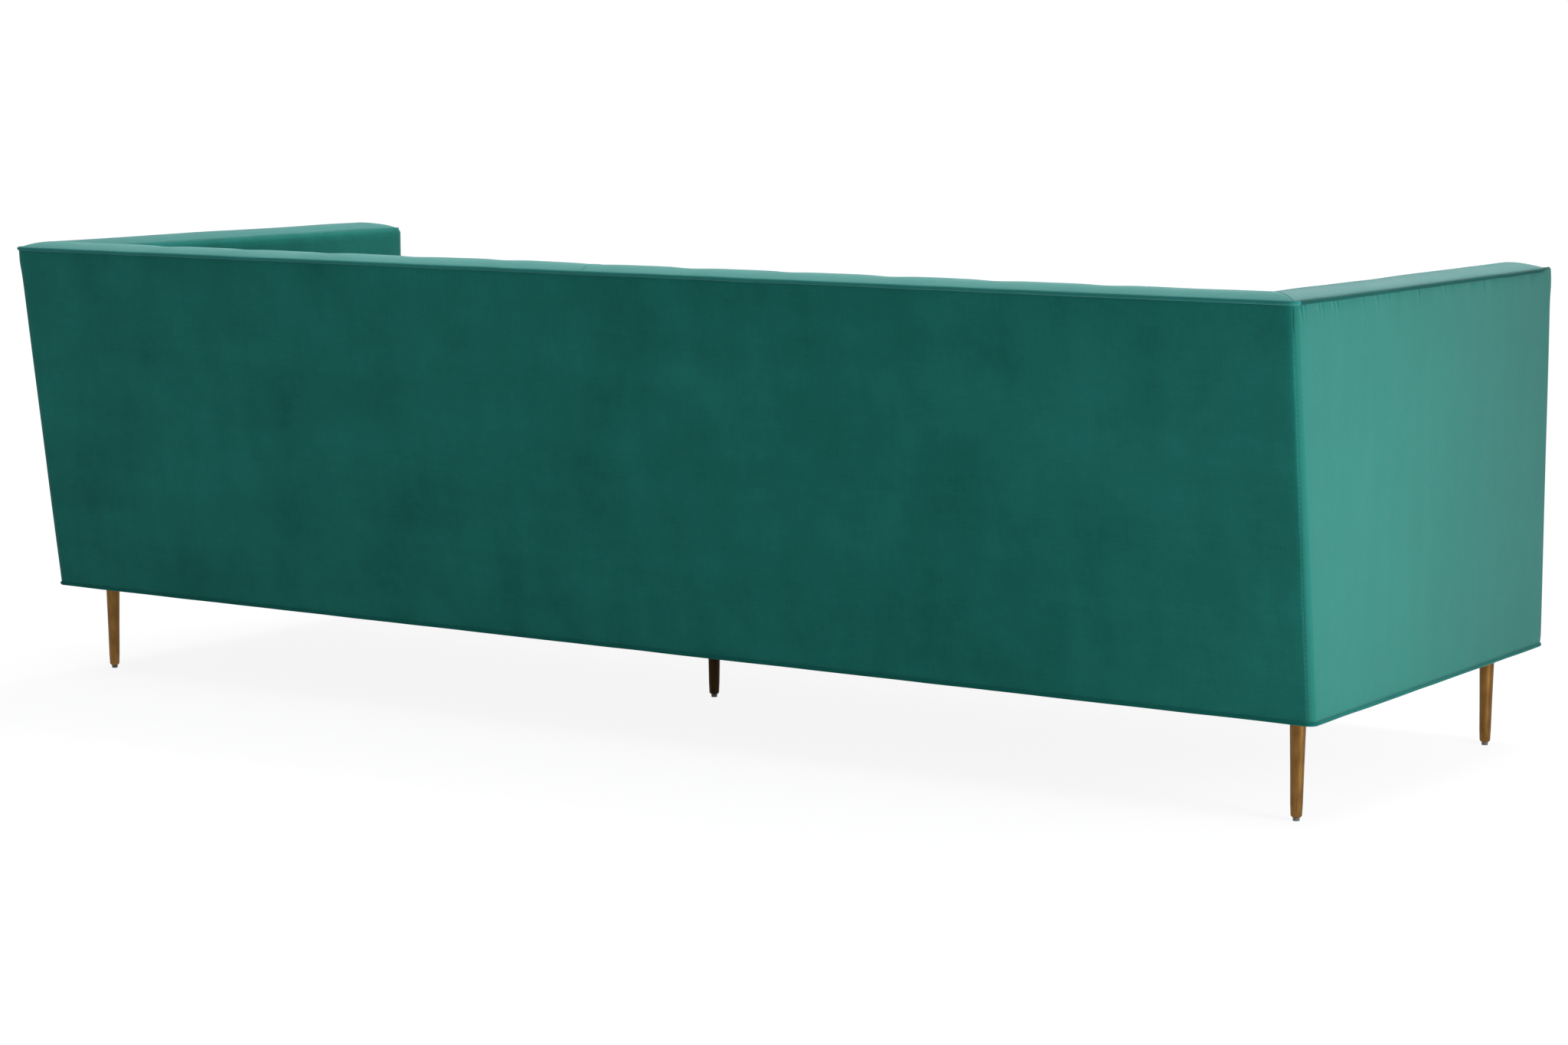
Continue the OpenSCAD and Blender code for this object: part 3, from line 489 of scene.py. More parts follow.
def block(name, low, high, bevel, segments=2, test=None):
    """A box between two corners, with all edges bevelled, or those that pass the test."""
    clear()
    bpy.ops.mesh.primitive_cube_add(size=1, location=[(a + b) / 2 for a, b in zip(low, high)])
    piece = fresh(name, [b - a for a, b in zip(low, high)])
    edit(piece, "EDGE", test)
    bpy.ops.mesh.bevel(offset=bevel, segments=segments, affect="EDGES")
    clear()
    return piece


# %% Cutting a panel up
def rim_loops(piece):
    edit(piece, "FACE")
    for width in RIM_LOOPS:
        bpy.ops.mesh.inset(thickness=width, depth=0)
    clear()


def strips(piece, axis, cuts, shortest=0.012):
    """Cuts each long edge that runs along the axis into cuts + 1 parts."""
    edit(piece, "EDGE", runs_along(axis, shortest))
    bpy.ops.mesh.subdivide(number_cuts=cuts)
    clear()


def cut_up(piece, *cuts):
    """Gives a panel its rim loops, and makes each (axis, cuts, shortest) into strips."""
    rim_loops(piece)
    for cut in cuts:
        strips(piece, *cut)
    return piece


def modify(piece, kind, **settings):
    """Adds a modifier, sets it up and applies it."""
    hold(piece)
    bpy.ops.object.modifier_add(type=kind)
    added = piece.modifiers[-1]
    for key, value in settings.items():
        setattr(added, key, value)
    bpy.ops.object.modifier_apply(modifier=added.name)


# %% Moving points
def points(piece):
    co = np.empty(len(piece.data.vertices) * 3)
    piece.data.vertices.foreach_get("co", co)
    return co.reshape(-1, 3)


def put(piece, co):
    piece.data.vertices.foreach_set("co", np.ascontiguousarray(co).ravel())
    piece.data.update()


def normals(piece):
    way = np.empty(len(piece.data.vertices) * 3)
    piece.data.vertex_normals.foreach_get("vector", way)
    return way.reshape(-1, 3)


# %% Edges and seams
def rim_gap(piece, rim_test=None):
    """How far each point is from the nearest open edge of its panel."""
    uses = {}
    for face in piece.data.polygons:
        for key in face.edge_keys:
            uses[key] = uses.get(key, 0) + 1
    rim = np.array([key for key, count in uses.items() if count == 1])
    co = points(piece)
    if rim_test is not None:
        middles = (co[rim[:, 0]] + co[rim[:, 1]]) / 2
        rim = rim[np.array([bool(rim_test(Vector(m))) for m in middles])]
    a, d = co[rim[:, 0]], co[rim[:, 1]] - co[rim[:, 0]]
    length = np.maximum((d * d).sum(1), 1e-16)
    gap = np.empty(len(co))
    batch = 2000
    for start in range(0, len(co), batch):
        p = co[start : start + batch, None, :] - a[None]
        t = np.clip((p * d[None]).sum(2) / length[None], 0, 1)
        gap[start : start + batch] = np.sqrt(((p - t[..., None] * d[None]) ** 2).sum(2)).min(1)
    return gap


def push(piece, height):
    """Moves each point along its own normal by its height."""
    put(piece, points(piece) + normals(piece) * np.asarray(height)[:, None])


def roll_edges(piece, radius=0.003, depth=0.0015, rim_test=None):
    """Turns the rim in, as cloth turns in at a seam."""
    turn = np.clip(1 - rim_gap(piece, rim_test) / radius, 0, 1)
    push(piece, -depth * (1 - np.sqrt(np.maximum(0, 1 - turn**2))))


def swell(gap, reach):
    """From 0 at the rim to 1 at the reach, steep at first, as stuffing is under tight cloth."""
    t = np.clip(gap / reach, 0, 1)
    return np.sqrt(np.maximum(0, 1 - (1 - t) ** 2))


# %% Lumps, gathers and thickness
def lumps(co, stretch, seed=0.0):
    """Smooth noise from -1 to 1 with so many lumps a metre, along each axis or all round."""
    return np.array([noise.noise(Vector(p)) for p in co * np.array(stretch) + seed])


def gathered(co, gap, stretch, seed, depth, reach):
    """Small gathers beside a seam that fade within the reach."""
    return -depth * np.clip(lumps(co, stretch, seed), 0, 1) * np.clip(1 - gap / reach, 0, 1)


def wall(piece, thickness=0.0026):
    """Gives a sheet its thickness, inwards, and closes its rim."""
    modify(piece, "SOLIDIFY", thickness=thickness, offset=-1)


# %% Dressing a piece
def dress(piece, replaces=(), body="sofa", slot="velvet", look=None, angle=None,
          cut=None):
    """The last step for every piece: shading, finish, body, and what it stands for.

    look is a finish other than the slot's. cut is the flat size of a sheet that is stretched over
    some parts.
    """
    hold(piece)
    if angle is None:
        bpy.ops.object.shade_smooth()
    else:
        bpy.ops.object.shade_smooth_by_angle(angle=math.radians(angle))
    piece.data.materials.clear()
    piece.data.materials.append(look or finishes[slot])
    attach(piece, body)
    if replaces:
        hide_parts(*replaces)
    if cut is not None:
        print("cut of", piece.name, "mm", [round(v * 1000) for v in cut])
    size = [round(v * 1000) for v in piece.dimensions]
    print(piece.name, "mm", size, "faces", len(piece.data.polygons))


# %% [markdown]
# ## Measures from the frame
# Every cloth part starts from the CAD's own faces, so it lies where the frame carries it. The back
# leans, so the covers are first cut and sewn upright, and their rear then follows the lean.

# %% Measures
cover_low, cover_high = (corner.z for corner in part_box("outside_back"))
middle_z = (cover_low + cover_high) / 2
half_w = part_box("outside_back")[1].x
front_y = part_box("front_border")[0].y
rear_points = [v.co for v in frame["nodes"]["outside_back"].data.vertices]
rear_low = max(p.y for p in rear_points if p.z < cover_low + 0.001)
rear_high = max(p.y for p in rear_points if p.z > cover_high - 0.001)
lean = (rear_high - rear_low) / (cover_high - cover_low)
arm_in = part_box("left_inside_arm")[0].x
cord_low, cord_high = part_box("top_cord")
welt_z, welt_r = (cord_low.z + cord_high.z) / 2, (cord_high.z - cord_low.z) / 2
welt_rear = cord_high.y - welt_r
crest_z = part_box("back_top")[1].z
top_seam_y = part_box("back_top")[0].y
deck_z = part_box("seat_deck")[1].z


def rear_y(z):
    return rear_low + (z - cover_low) * lean


def lean_back(co):
    """Leans upright points: all of the lean at the rear, none at the front."""
    share = np.clip((co[:, 1] - front_y) / (rear_low - 0.035 - front_y), 0, 1)
    co[:, 1] += share * (co[:, 2] - cover_low) * lean
    return co


print("half width", half_w, "front", front_y, "lean in degrees", math.degrees(math.atan(lean)))

# %% [markdown]
# ## Turning cloth over an edge
# An upholsterer cuts a panel larger than the face and pulls the rest round the corner. `turn_over`
# does this with the points beyond a line: they go round an arc, and straight on behind it.

# %% Turning over
def turn_over(co, axis, line, beyond, inward_axis, inward, radius):
    """Bends points that lie beyond a line (+1 or -1 along the axis) round an edge."""
    extra = np.clip((co[:, axis] - line) * beyond, 0, None)
    angle = np.clip(extra / radius, 0, math.pi / 2)
    past = np.clip(extra - radius * math.pi / 2, 0, None)
    bent = extra > 0
    co[:, axis] = np.where(bent, line + beyond * radius * np.sin(angle), co[:, axis])
    co[:, inward_axis] += inward * (radius * (1 - np.cos(angle)) + past)
    return co


def gather_rows(co, share=0.6):
    """Crowds a cover's rows towards its top and its hem, where the seams need the detail."""
    low, high = cover_low + sum(RIM_LOOPS), cover_high - sum(RIM_LOOPS)
    t = np.clip((co[:, 2] - low) / (high - low), 0, 1)
    co[:, 2] -= (high - low) * share * np.sin(2 * math.pi * t) / (2 * math.pi)
    return co


# %% [markdown]
# ## Outside back and outside arms
# These are single tight panels over board. The arm's panel comes round the rear corner, and the
# back's panel is sewn to it by hand with a hidden stitch, on the rounded corner: 5 mm from the
# corner at the top and 10 mm at the bottom, because the seam isn't quite upright on the real one.
# Just under the top welt the cloth is gathered a little, which shows as small puckers and darts.
# All three panels are cut, turned, leaned and closed alike, so the helpers do that once.

# %% Cutting a cover
corner_r = 0.012
front_corner_r = 0.009
hem_z = cover_low - 0.0013
brim_z = cover_high + 0.0020
seam_lap = 0.0013
seam_low, seam_high = math.radians(10), math.radians(36)
seam_ends = ((False, seam_low), (True, seam_high))
turn_in = 0.012
cut_height = (cover_high - cover_low) / math.cos(math.atan(lean)) + 2 * turn_in
print("covers are cut", round(cut_height * 1000), "mm high")


def pull_corners(piece, test, way):
    """Moves those corners of a plain panel that pass the test."""
    edit(piece, "VERT", test)
    bpy.ops.transform.translate(value=way)
    clear()


def cut_cover(piece, axis, cuts, end_run, inward, turns):
    """Cuts a cover's panel into strips, turns its ends round the corners and leans it back."""
    cut_up(piece, (axis, cuts), (axis, 3, end_run), (2, 54))
    co = gather_rows(points(piece))
    for line, beyond, radius in turns:
        co = turn_over(co, axis, line, beyond, 1 - axis, inward, radius)
    put(piece, lean_back(co))
    return points(piece), rim_gap(piece)


# %% Closing a cover
def puckers(along, drop, seed, depth):
    """Small scallops under a gathered seam that fade within a few centimetres."""
    waves_a_metre, fade = 26, 0.012
    wave = np.array([noise.noise(Vector((waves_a_metre * a, seed, 0))) for a in along])
    return -depth * np.clip(wave, 0, 1) * np.exp(-np.clip(drop, 0, None) / fade)


def front_share(co, start=0.012, run=0.039):
    """1 at the front of an arm, 0 from 51 mm backwards, smooth between."""
    t = np.clip(1 - (co[:, 1] - front_y - start) / run, 0, 1)
    return t * t * (3 - 2 * t)


def soft_corner(co, reach=0.03):
    """The covers fall away a little towards the rear corners, where the board ends."""
    from_end = half_w - np.abs(co[:, 0])
    from_rear = rear_y(co[:, 2]) - co[:, 1]
    fall = np.clip(1 - from_end / reach, 0, 1) ** 2 * np.clip(1 - from_rear / reach, 0, 1) ** 2
    return -0.0008 * fall


def close_cover(piece, co, height, roll, node, length, look=None):
    """Swells a cover, lifts its brim at an arm's front, rolls its edges in and dresses it."""
    push(piece, height)
    push(piece, soft_corner(co))
    co = points(piece)
    near_top = np.clip((co[:, 2] - cover_high + 0.05) / 0.05, 0, 1)
    co[:, 2] += 0.0042 * front_share(co) * near_top
    put(piece, co)
    roll_edges(piece, roll)
    wall(piece)
    dress(
        piece, [node], look=look, cut=(length + 2 * turn_in, cut_height),
    )


# %% Outside back
back_line = half_w - corner_r
back_cover = panel(
    "back_outer_cover", "rear", (-back_line, rear_low, hem_z), (back_line, rear_low, brim_z)
)
for side in (-1, 1):
    for upper, angle in seam_ends:
        pull_corners(
            back_cover, lambda at: at.x * side > 0 and (at.z > middle_z) == upper,
            (side * (corner_r * angle + seam_lap), 0, 0),
        )
corners = [(side * back_line, side, corner_r) for side in (-1, 1)]
co, gap = cut_cover(back_cover, 0, 99, 0.012, -1, corners)
ripple = 0.0005 * lumps(co, (5, 5, 3.5)) + 0.00018 * lumps(co, (34, 34, 4), 3.0)
gathers = puckers(co[:, 0], cover_high - co[:, 2], 1.7, 0.0006)
height = (ripple + 0.0004) * swell(gap, 0.05) + gathers * swell(gap, 0.004)
close_cover(
    back_cover, co, height, 0.003, "outside_back", 2 * (back_line + corner_r * seam_high)
)

# %% Darts
# Each dart under an arm's welt: how far from the rear, how deep, and how far down it fades.
darts = (
    (0.016, 0.0042, 0.010), (0.027, 0.0024, 0.008), (0.071, 0.0022, 0.008),
    (0.083, 0.0028, 0.008), (0.118, 0.0020, 0.008), (0.131, 0.0026, 0.009),
    (0.214, 0.0018, 0.007), (0.262, 0.0024, 0.008), (0.301, 0.0016, 0.007),
    (0.405, 0.0018, 0.007), (0.498, 0.0014, 0.007), (0.640, 0.0014, 0.007),
)
dart_width = 0.0024


# %% Outside arms
def arm_cover(side, word):
    """side is +1 for the sitter's left and -1 for the right."""
    start, end = front_y + front_corner_r, rear_low - corner_r
    piece = panel(
        f"{word}_arm_outer_cover", "left" if side > 0 else "right",
        (side * half_w, start, hem_z), (side * half_w, end, brim_z),
    )
    pull_corners(piece, lambda at: at.y < 0, (0, -front_corner_r * math.pi / 2 - 0.0072, 0))
    for upper, angle in seam_ends:
        pull_corners(
            piece, lambda at: at.y > 0 and (at.z > middle_z) == upper,
            (0, corner_r * (math.pi / 2 - angle) + seam_lap, 0),
        )
    turns = [(start, -1, front_corner_r), (end, 1, corner_r)]
    co, gap = cut_cover(piece, 1, 89, 0.008, -side, turns)
    drop = cover_high - co[:, 2]
    from_rear, from_front = rear_y(co[:, 2]) - co[:, 1], co[:, 1] - front_y
    height = 0.0007 * lumps(co, (6, 4, 5), 7.0 * side) + 0.0002 * lumps(co, (30, 26, 5), 9.0)
    height += 0.0012 * np.exp(-((drop - 0.02) / 0.018) ** 2)
    height += puckers(co[:, 1], drop, 4.1 + side, 0.0018)
    for at, depth, reach in darts:
        fade = np.exp(-np.clip(drop, 0, None) / reach)
        height -= depth * np.exp(-((from_rear - at) / dart_width) ** 2) * fade
    nip = np.exp(-(co[:, 2] - cover_low) / 0.006) * np.exp(-(from_front / 0.02) ** 2)
    height = (height - 0.0014 * nip) * swell(gap, 0.004)
    close_cover(
        piece, co, height, 0.0035, f"{word}_outside_arm", rear_high - front_y + corner_r,
        smooth_velvet,
    )


for side, word in SIDES:
    arm_cover(side, word)

# %% [markdown]
# ## Slip stitches
# The back is closed by hand: a thread catches the arm's panel, then the back's, every 7 mm, and
# shows as a row of small slanted dashes in the seam. One dash is a short bar with rounded ends. It
# is copied up the seam, and each copy is turned to the corner's own direction there.

# %% Slip stitches
thread = velvet("teal_thread", (0.060, 0.260, 0.230), (0.090, 0.320, 0.280), 0.4, 0.6)
dash = block(
    "rear_seam_stitches", (-0.0013, -0.00022, -0.00022), (0.0013, 0.00022, 0.00022), 0.00018
)
stitch_count = 78
stitch_r = corner_r - 0.0005
spots = []
for side in (-1, 1):
    for z in np.linspace(cover_low + 0.012, cover_high - 0.018, stitch_count):
        angle = np.interp(z, (cover_low, cover_high), (seam_low, seam_high))
        x = back_line + stitch_r * math.sin(angle)
        y = rear_y(z) - corner_r + stitch_r * math.cos(angle)
        slant = math.radians(24 + 10 * noise.noise(Vector((side * 3, z * 60, 0))))
        spots.append(((side * x, y, z), (0, side * slant, -side * angle)))
dress(scatter(dash, spots), slot="velvet_cord", look=thread, angle=50)

# %% [markdown]
# ## Welts
# A welt is a cord in a bias strip of the same velvet, sewn into a seam. One runs along the whole
# outer top edge, sinks into the seam near each arm's front, and another goes right round the
# bottom. Each follows a path with rounded corners, and it wanders a little, as hand work does. The
# top one has two finishes: a paler one along the back, which is painted sheen, and a deeper one
# along the arms, which is painted shade.

# %% Paths with rounded corners
def rounded_path(corners, radius, closed=False, step=0.012):
    """Points along straight runs, with an arc of the radius at each inner corner."""
    corners = [Vector(c) for c in corners]
    path = []
    for i, corner in enumerate(corners):
        if not closed and i in (0, len(corners) - 1):
            path.append(corner)
            continue
        back = (corners[i - 1] - corner).normalized() * radius
        ahead = (corners[(i + 1) % len(corners)] - corner).normalized() * radius
        for angle in np.linspace(0, math.pi / 2, 7):
            path.append(corner + back * (1 - math.sin(angle)) + ahead * (1 - math.cos(angle)))
    dense = []
    for a, b in zip(path, path[1:] + (path[:1] if closed else [])):
        parts = max(1, round((b - a).length / step))
        dense += [a.lerp(b, k / parts) for k in range(parts)]
    return dense if closed else dense + path[-1:]


# %% Cords along a path
def tube(name, path, radius, closed=False, sizes=None):
    """A round cord along a path, made as a curve and turned into a mesh."""
    clear()
    bpy.ops.curve.primitive_bezier_curve_add()
    curve = bpy.context.object.data
    curve.splines.clear()
    spline = curve.splines.new("POLY")
    spline.points.add(len(path) - 1)
    for point, at, size in zip(spline.points, path, sizes or [1] * len(path)):
        point.co = (*at, 1)
        point.radius = size
    spline.use_cyclic_u = closed
    curve.dimensions = "3D"
    curve.bevel_depth = radius
    curve.bevel_resolution = 3
    curve.use_fill_caps = not closed
    bpy.ops.object.convert(target="MESH")
    return fresh(name)


def wander(path, size, seed):
    """Moves each point of a path a little up, down and sideways."""
    ways = ((9, (seed, 0, 0)), (9, (0, seed, 0)), (11, (0, 0, seed)))
    return [
        p + size * Vector([noise.noise(p * waves + Vector(shift)) for waves, shift in ways])
        for p in path
    ]


# %% Top welt
welt_sink = 0.00075
welt_x = half_w - welt_sink
sink_run = 0.045
start_y = front_y + 0.008


def welt_path(front, rear, z, closed=False):
    """The way from the left arm's front round the back to the right arm's front."""
    plan = [(welt_x, front, z), (welt_x, rear, z), (-welt_x, rear, z), (-welt_x, front, z)]
    return rounded_path(plan, corner_r, closed)


path, sizes = [], []
for p in welt_path(start_y, welt_rear, welt_z):
    sunk = min(1, max(0, (start_y + sink_run - p.y) / (sink_run - 0.006)))
    sunk = sunk * sunk * (3 - 2 * sunk)
    path.append(p + Vector((-math.copysign(0.0026 * sunk, p.x), 0, 0.0024 * sunk)))
    sizes.append((1 - 0.48 * sunk) * (1 + 0.06 * noise.noise(p * 14)))
top_welt = tube("top_welt", wander(path, 0.0006, 5.0), welt_r, sizes=sizes)
# The welt takes the paler cord finish with painted sheen along the back and the deeper one with
# painted shade along the arms.
dress(top_welt, ["top_cord"], slot="velvet_cord", look=back_welt_painted_sheen)
top_welt.data.materials.append(arm_welt_painted_shade)
for face in top_welt.data.polygons:
    face.material_index = int(face.center.y < welt_rear - corner_r)

# %% Bottom welt
hem_low, hem_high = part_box("bottom_cord")
path = welt_path(hem_low.y + welt_r, hem_high.y - welt_r, hem_low.z + welt_r, closed=True)
sizes = [1 + 0.04 * noise.noise(p * 15) for p in path]
bottom_welt = tube("bottom_welt", wander(path, 0.0004, 8.0), welt_r, closed=True, sizes=sizes)
dress(bottom_welt, ["bottom_cord"], slot="velvet_cord")

# %% [markdown]
# ## Tops
# The top of the back and of each arm is a padded strip, mitred where they meet at the rear corners,
# with one more seam in the middle of the back. The strips are rounded across. Along the back, the
# channels of the inside pull their seams down a little, which shows as a row of low humps on the
# skyline. Towards the front, an arm's top slopes down and turns over the edge.

# %% Tops
top_in_x, top_in_y = arm_in + 0.008, top_seam_y + 0.006
top_out_x, top_out_y = half_w - 0.0042, welt_rear - 0.0036
seam_base = welt_z + 0.0022
channel_width = 0.18
channel_xs = [s * channel_width for s in range(-5, 6)]
front_turn = 0.010


def crown(u):
    """Rise of the padded strip at a share of the way across it."""
    return (crest_z - seam_base) * np.clip(1 - np.abs(2 * u - 1) ** 2.1, 0, 1)


def top_strip(name, corners, long_axis):
    """A four-sided strip from its plan corners, which go round it from low x and low y."""
    piece = panel(name, "up", (-1, -1, seam_base), (1, 1, seam_base))
    co = points(piece)
    order = [(-1, -1), (1, -1), (1, 1), (-1, 1)]
    for row in co:
        row[:2] = corners[order.index((round(row[0]), round(row[1])))]
    put(piece, co)
    cut_up(piece, (long_axis, 63, 0.03), (long_axis, 3, 0.007))
    edit(
        piece, "EDGE", lambda way: way.length > 0.01 and abs(way[long_axis]) < 0.8 * way.length
    )
    bpy.ops.mesh.subdivide(number_cuts=14)
    clear()
    return piece


def seam_gap(co, seams):
    """How far each point is from the nearest upright seam of the channels."""
    return np.abs(co[:, :1] - np.array(seams)[None]).min(1)


# %% Back top
dip_depth, dip_width = 0.0042, 0.028
halves = []
for side in (-1, 1):
    (x0, x1), (x2, x3) = (sorted((0, side * x)) for x in (top_in_x, top_out_x))
    corners = [(x0, top_in_y), (x1, top_in_y), (x3, top_out_y), (x2, top_out_y)]
    half = top_strip(f"half_{side}", corners, 0)
    co, gap = points(half), rim_gap(half)
    u = np.clip((co[:, 1] - top_in_y) / (top_out_y - top_in_y), 0, 1)
    co[:, 2] += crown(u)
    put(half, co)
    dip = np.exp(-((seam_gap(co, channel_xs) / dip_width) ** 2)) * np.clip(1 - u * 1.5, 0, 1)
    ripple = 0.0009 * lumps(co, (9, 14, 9), 2.0)
    gathers = gathered(co, gap, (46, 8, 8), 4.0, 0.0006, 0.02)
    push(half, (ripple - dip_depth * dip) * swell(gap, 0.03) + gathers * swell(gap, 0.004))
    roll_edges(half)
    halves.append(half)
back_top = join("back_top_cover", halves)
wall(back_top)
dress(back_top, ["back_top"], look=back_top_painted_sheen)


# %% Arm tops
def arm_top(side, word):
    fold = front_turn * math.pi / 2 + 0.0016
    end = front_y + front_turn - fold
    first, last = sorted([(side * top_in_x, top_in_y), (side * top_out_x, top_out_y)])
    corners = [(first[0], end), (last[0], end), last, first]
    piece = top_strip(f"{word}_arm_top_cover", corners, 1)
    co, gap = points(piece), rim_gap(piece)
    u = np.clip((np.abs(co[:, 0]) - top_in_x) / (top_out_x - top_in_x), 0, 1)
    slope = np.clip(1 - np.clip(co[:, 1] - front_y, 0, None) / 0.06, 0, 1) ** 1.6
    share = front_share(co)
    round_it = np.clip((front_y + front_turn - co[:, 1]) / fold, 0, 1)
    rise = crown(u) * (1 - 0.55 * slope) * (1 - round_it**2)
    co[:, 2] += rise - 0.001 * slope - 0.0012 * share * u**2
    co[:, 0] += side * 0.0028 * share * u**4
    co = turn_over(co, 1, front_y + front_turn, -1, 2, -1, front_turn)
    into = np.clip(front_y + front_corner_r - co[:, 1], 0, front_corner_r)
    cut = front_corner_r - np.sqrt(front_corner_r**2 - into**2)
    co[:, 0] = side * np.clip(np.abs(co[:, 0]), arm_in + cut + 0.0005, half_w - cut - 0.0008)
    put(piece, co)
    push(piece, 0.0010 * lumps(co, (14, 8, 9), 11.0 * side) * swell(gap, 0.03))
    roll_edges(piece)
    wall(piece)
    dress(piece, [f"{word}_arm_top"], look=arm_top_painted_sheen)


for side, word in SIDES:
    arm_top(side, word)

# %% [markdown]
# ## Arm fronts and the band below the seat
# The front of each arm is a narrow padded panel with a seam round it, and a wider band runs between
# the arms below the cushions. Both are a little fuller in the middle than at their seams.

# %% Arm fronts and front border
border_turn = 0.005
border_line = deck_z - 0.0006 - border_turn
border_top = border_line + border_turn * math.pi / 2 + 0.001
front_seam_x = half_w - front_corner_r - 0.0050
front_top_z = seam_base - front_turn


def padded_front(name, node, xs, top, belly, seed):
    """A wide one turns over at its upper edge, onto the deck."""
    wide = xs[1] - xs[0] > 0.3
    piece = panel(name, "front", (xs[0], front_y, hem_z), (xs[1], front_y, top))
    across = [(0, 99), (0, 2, 0.008)] if wide else [(0, 30)]
    cut_up(piece, *across, (2, 60))
    if wide:
        put(piece, turn_over(points(piece), 2, border_line, 1, 1, 1, border_turn))
    co, gap = points(piece), rim_gap(piece)
    ripple = 0.0006 * lumps(co, (14, 14, 9), seed) * swell(gap, 0.03)
    gathers = gathered(co, gap, 60, seed, 0.0005, 0.015) * swell(gap, 0.004)
    push(piece, belly * swell(gap, 0.035) + ripple + gathers)
    roll_edges(piece, 0.004, 0.0021)
    wall(piece)
    if wide:
        co = points(piece)
        co[:, 2] = np.minimum(co[:, 2], deck_z - 0.0002)
        put(piece, co)
    dress(piece, [node])


for side, word in SIDES:
    xs = sorted((side * (arm_in + 0.0080), side * front_seam_x))
    front = f"{word}_arm_front"
    padded_front(f"{front}_cover", front, xs, front_top_z, 0.0022, 3.0 * side)
border_x = arm_in + 0.0094
padded_front("front_border_cover", "front_border", (-border_x, border_x), border_top, 0.0024, 6.0)


# %% [markdown]
# ## Inside arms
# The inside of an arm is a plain padded panel that turns over the top edge and over the front edge
# to its seams. A cushion stands close to it, so it only swells above the cushion.

# %% Inside arms
def inner_arm(side, word, edge_r=0.009):
    node, fold = f"{word}_inside_arm", edge_r * math.pi / 2
    top_line, front_line = welt_z + 0.0015 - edge_r, front_y + edge_r
    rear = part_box("inside_back")[1].y - 0.012
    piece = panel(
        f"{word}_arm_inner_cover", "right" if side > 0 else "left",
        (side * arm_in, front_line - fold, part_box(node)[0].z),
        (side * arm_in, rear, top_line + fold),
    )
    cut_up(piece, (1, 79), (2, 45), (1, 1, 0.008))
    co = points(piece)
    over_front = np.clip(front_line - co[:, 1], 0, None)
    over_top = np.clip(co[:, 2] - top_line, 0, None)
    extra = np.hypot(over_front, over_top)
    angle = np.clip(extra / edge_r, 0, math.pi / 2)
    reach = edge_r * np.sin(angle) / np.maximum(extra, 1e-9)
    co[:, 1] = np.maximum(co[:, 1], front_line) - reach * over_front
    co[:, 2] = np.minimum(co[:, 2], top_line) + reach * over_top
    co[:, 0] += side * edge_r * (1 - np.cos(angle))
    put(piece, co)
    gap = rim_gap(piece)
    cushion_top, fade = 0.455, 0.06
    above = np.clip((co[:, 2] - cushion_top) / fade, 0, 1)
    ripple = 0.0007 * lumps(co, 6, 5.0 * side)
    push(piece, above * (0.004 * swell(gap, 0.12) + ripple * swell(gap, 0.04)))
    roll_edges(piece, 0.004, 0.0024)
    wall(piece)
    dress(piece, [node])


for side, word in SIDES:
    inner_arm(side, word)

# %% [markdown]
# ## Inside back
# The inside back is one quilted cover: sewn through to its lining along upright lines every 180 mm,
# with stuffing between them. The panel is made as a grid that follows the line of the lining, held
# along its seams, and blown up as cloth by Blender's simulation, so that each channel swells as a
# stuffed tube does and creases where it is held.

# %% Line of the lining
quilt_low, quilt_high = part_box("inside_back")
puff, seam_depth = 0.011, 0.007
seam_y, lumbar_z = quilt_low.y + puff, 0.400
quilt_turn = 0.010
turn_z = welt_z + 0.0015 - quilt_turn
turn_y = seam_y + (top_seam_y - seam_y) / (quilt_high.z - lumbar_z) * (turn_z - lumbar_z)
profile = [(seam_y, quilt_low.z), (seam_y, lumbar_z), (turn_y, turn_z)]
for k in range(1, 7):
    angle = math.pi / 2 * k / 6
    forward, upward = quilt_turn * (1 - math.cos(angle)), quilt_turn * math.sin(angle)
    profile.append((turn_y + forward, turn_z + upward))
profile = np.array(profile)
run = np.concatenate([[0], np.cumsum(np.hypot(*np.diff(profile, axis=0).T))])
print("run of the lining in mm", round(run[-1] * 1000))

# %% Shape of the quilt
side_tuck = 0.0028
clear()
bpy.ops.mesh.primitive_grid_add(
    x_subdivisions=372, y_subdivisions=76, size=1, rotation=TURNS["front"]
)
quilt = fresh("inside_back_channels", (2 * (arm_in + side_tuck), 1, 1))
co = points(quilt)
along = (co[:, 2] - co[:, 2].min()) / np.ptp(co[:, 2]) * run[-1]
co[:, 1], co[:, 2] = (np.interp(along, run, line) for line in profile.T)
put(quilt, co)
flat_co, flat_way = points(quilt), normals(quilt)
seam_edges = np.array([-arm_in, *channel_xs, arm_in])
cell = np.clip(np.searchsorted(seam_edges, co[:, 0], side="right") - 1, 0, len(seam_edges) - 2)
left_edge, right_edge = seam_edges[cell], seam_edges[cell + 1]
t = np.clip((co[:, 0] - left_edge) / (right_edge - left_edge), 0, 1)
hump = np.clip(1 - (2 * t - 1) ** 2, 0, 1) ** 0.62
ends = np.clip(along / 0.05, 0, 1) * np.clip((run[-1] - along) / 0.06, 0, 1)
ends = np.sqrt(np.clip(1 - (1 - ends) ** 2, 0, 1))
at_arms = np.clip((np.abs(co[:, 0]) - arm_in + 0.02) / 0.02, 0, 1)
full = hump * (0.25 + 0.75 * ends) * puff
full -= seam_depth * (1 - 0.6 * at_arms) * (1 - hump) ** 3
put(quilt, flat_co + flat_way * (full * 0.9)[:, None])


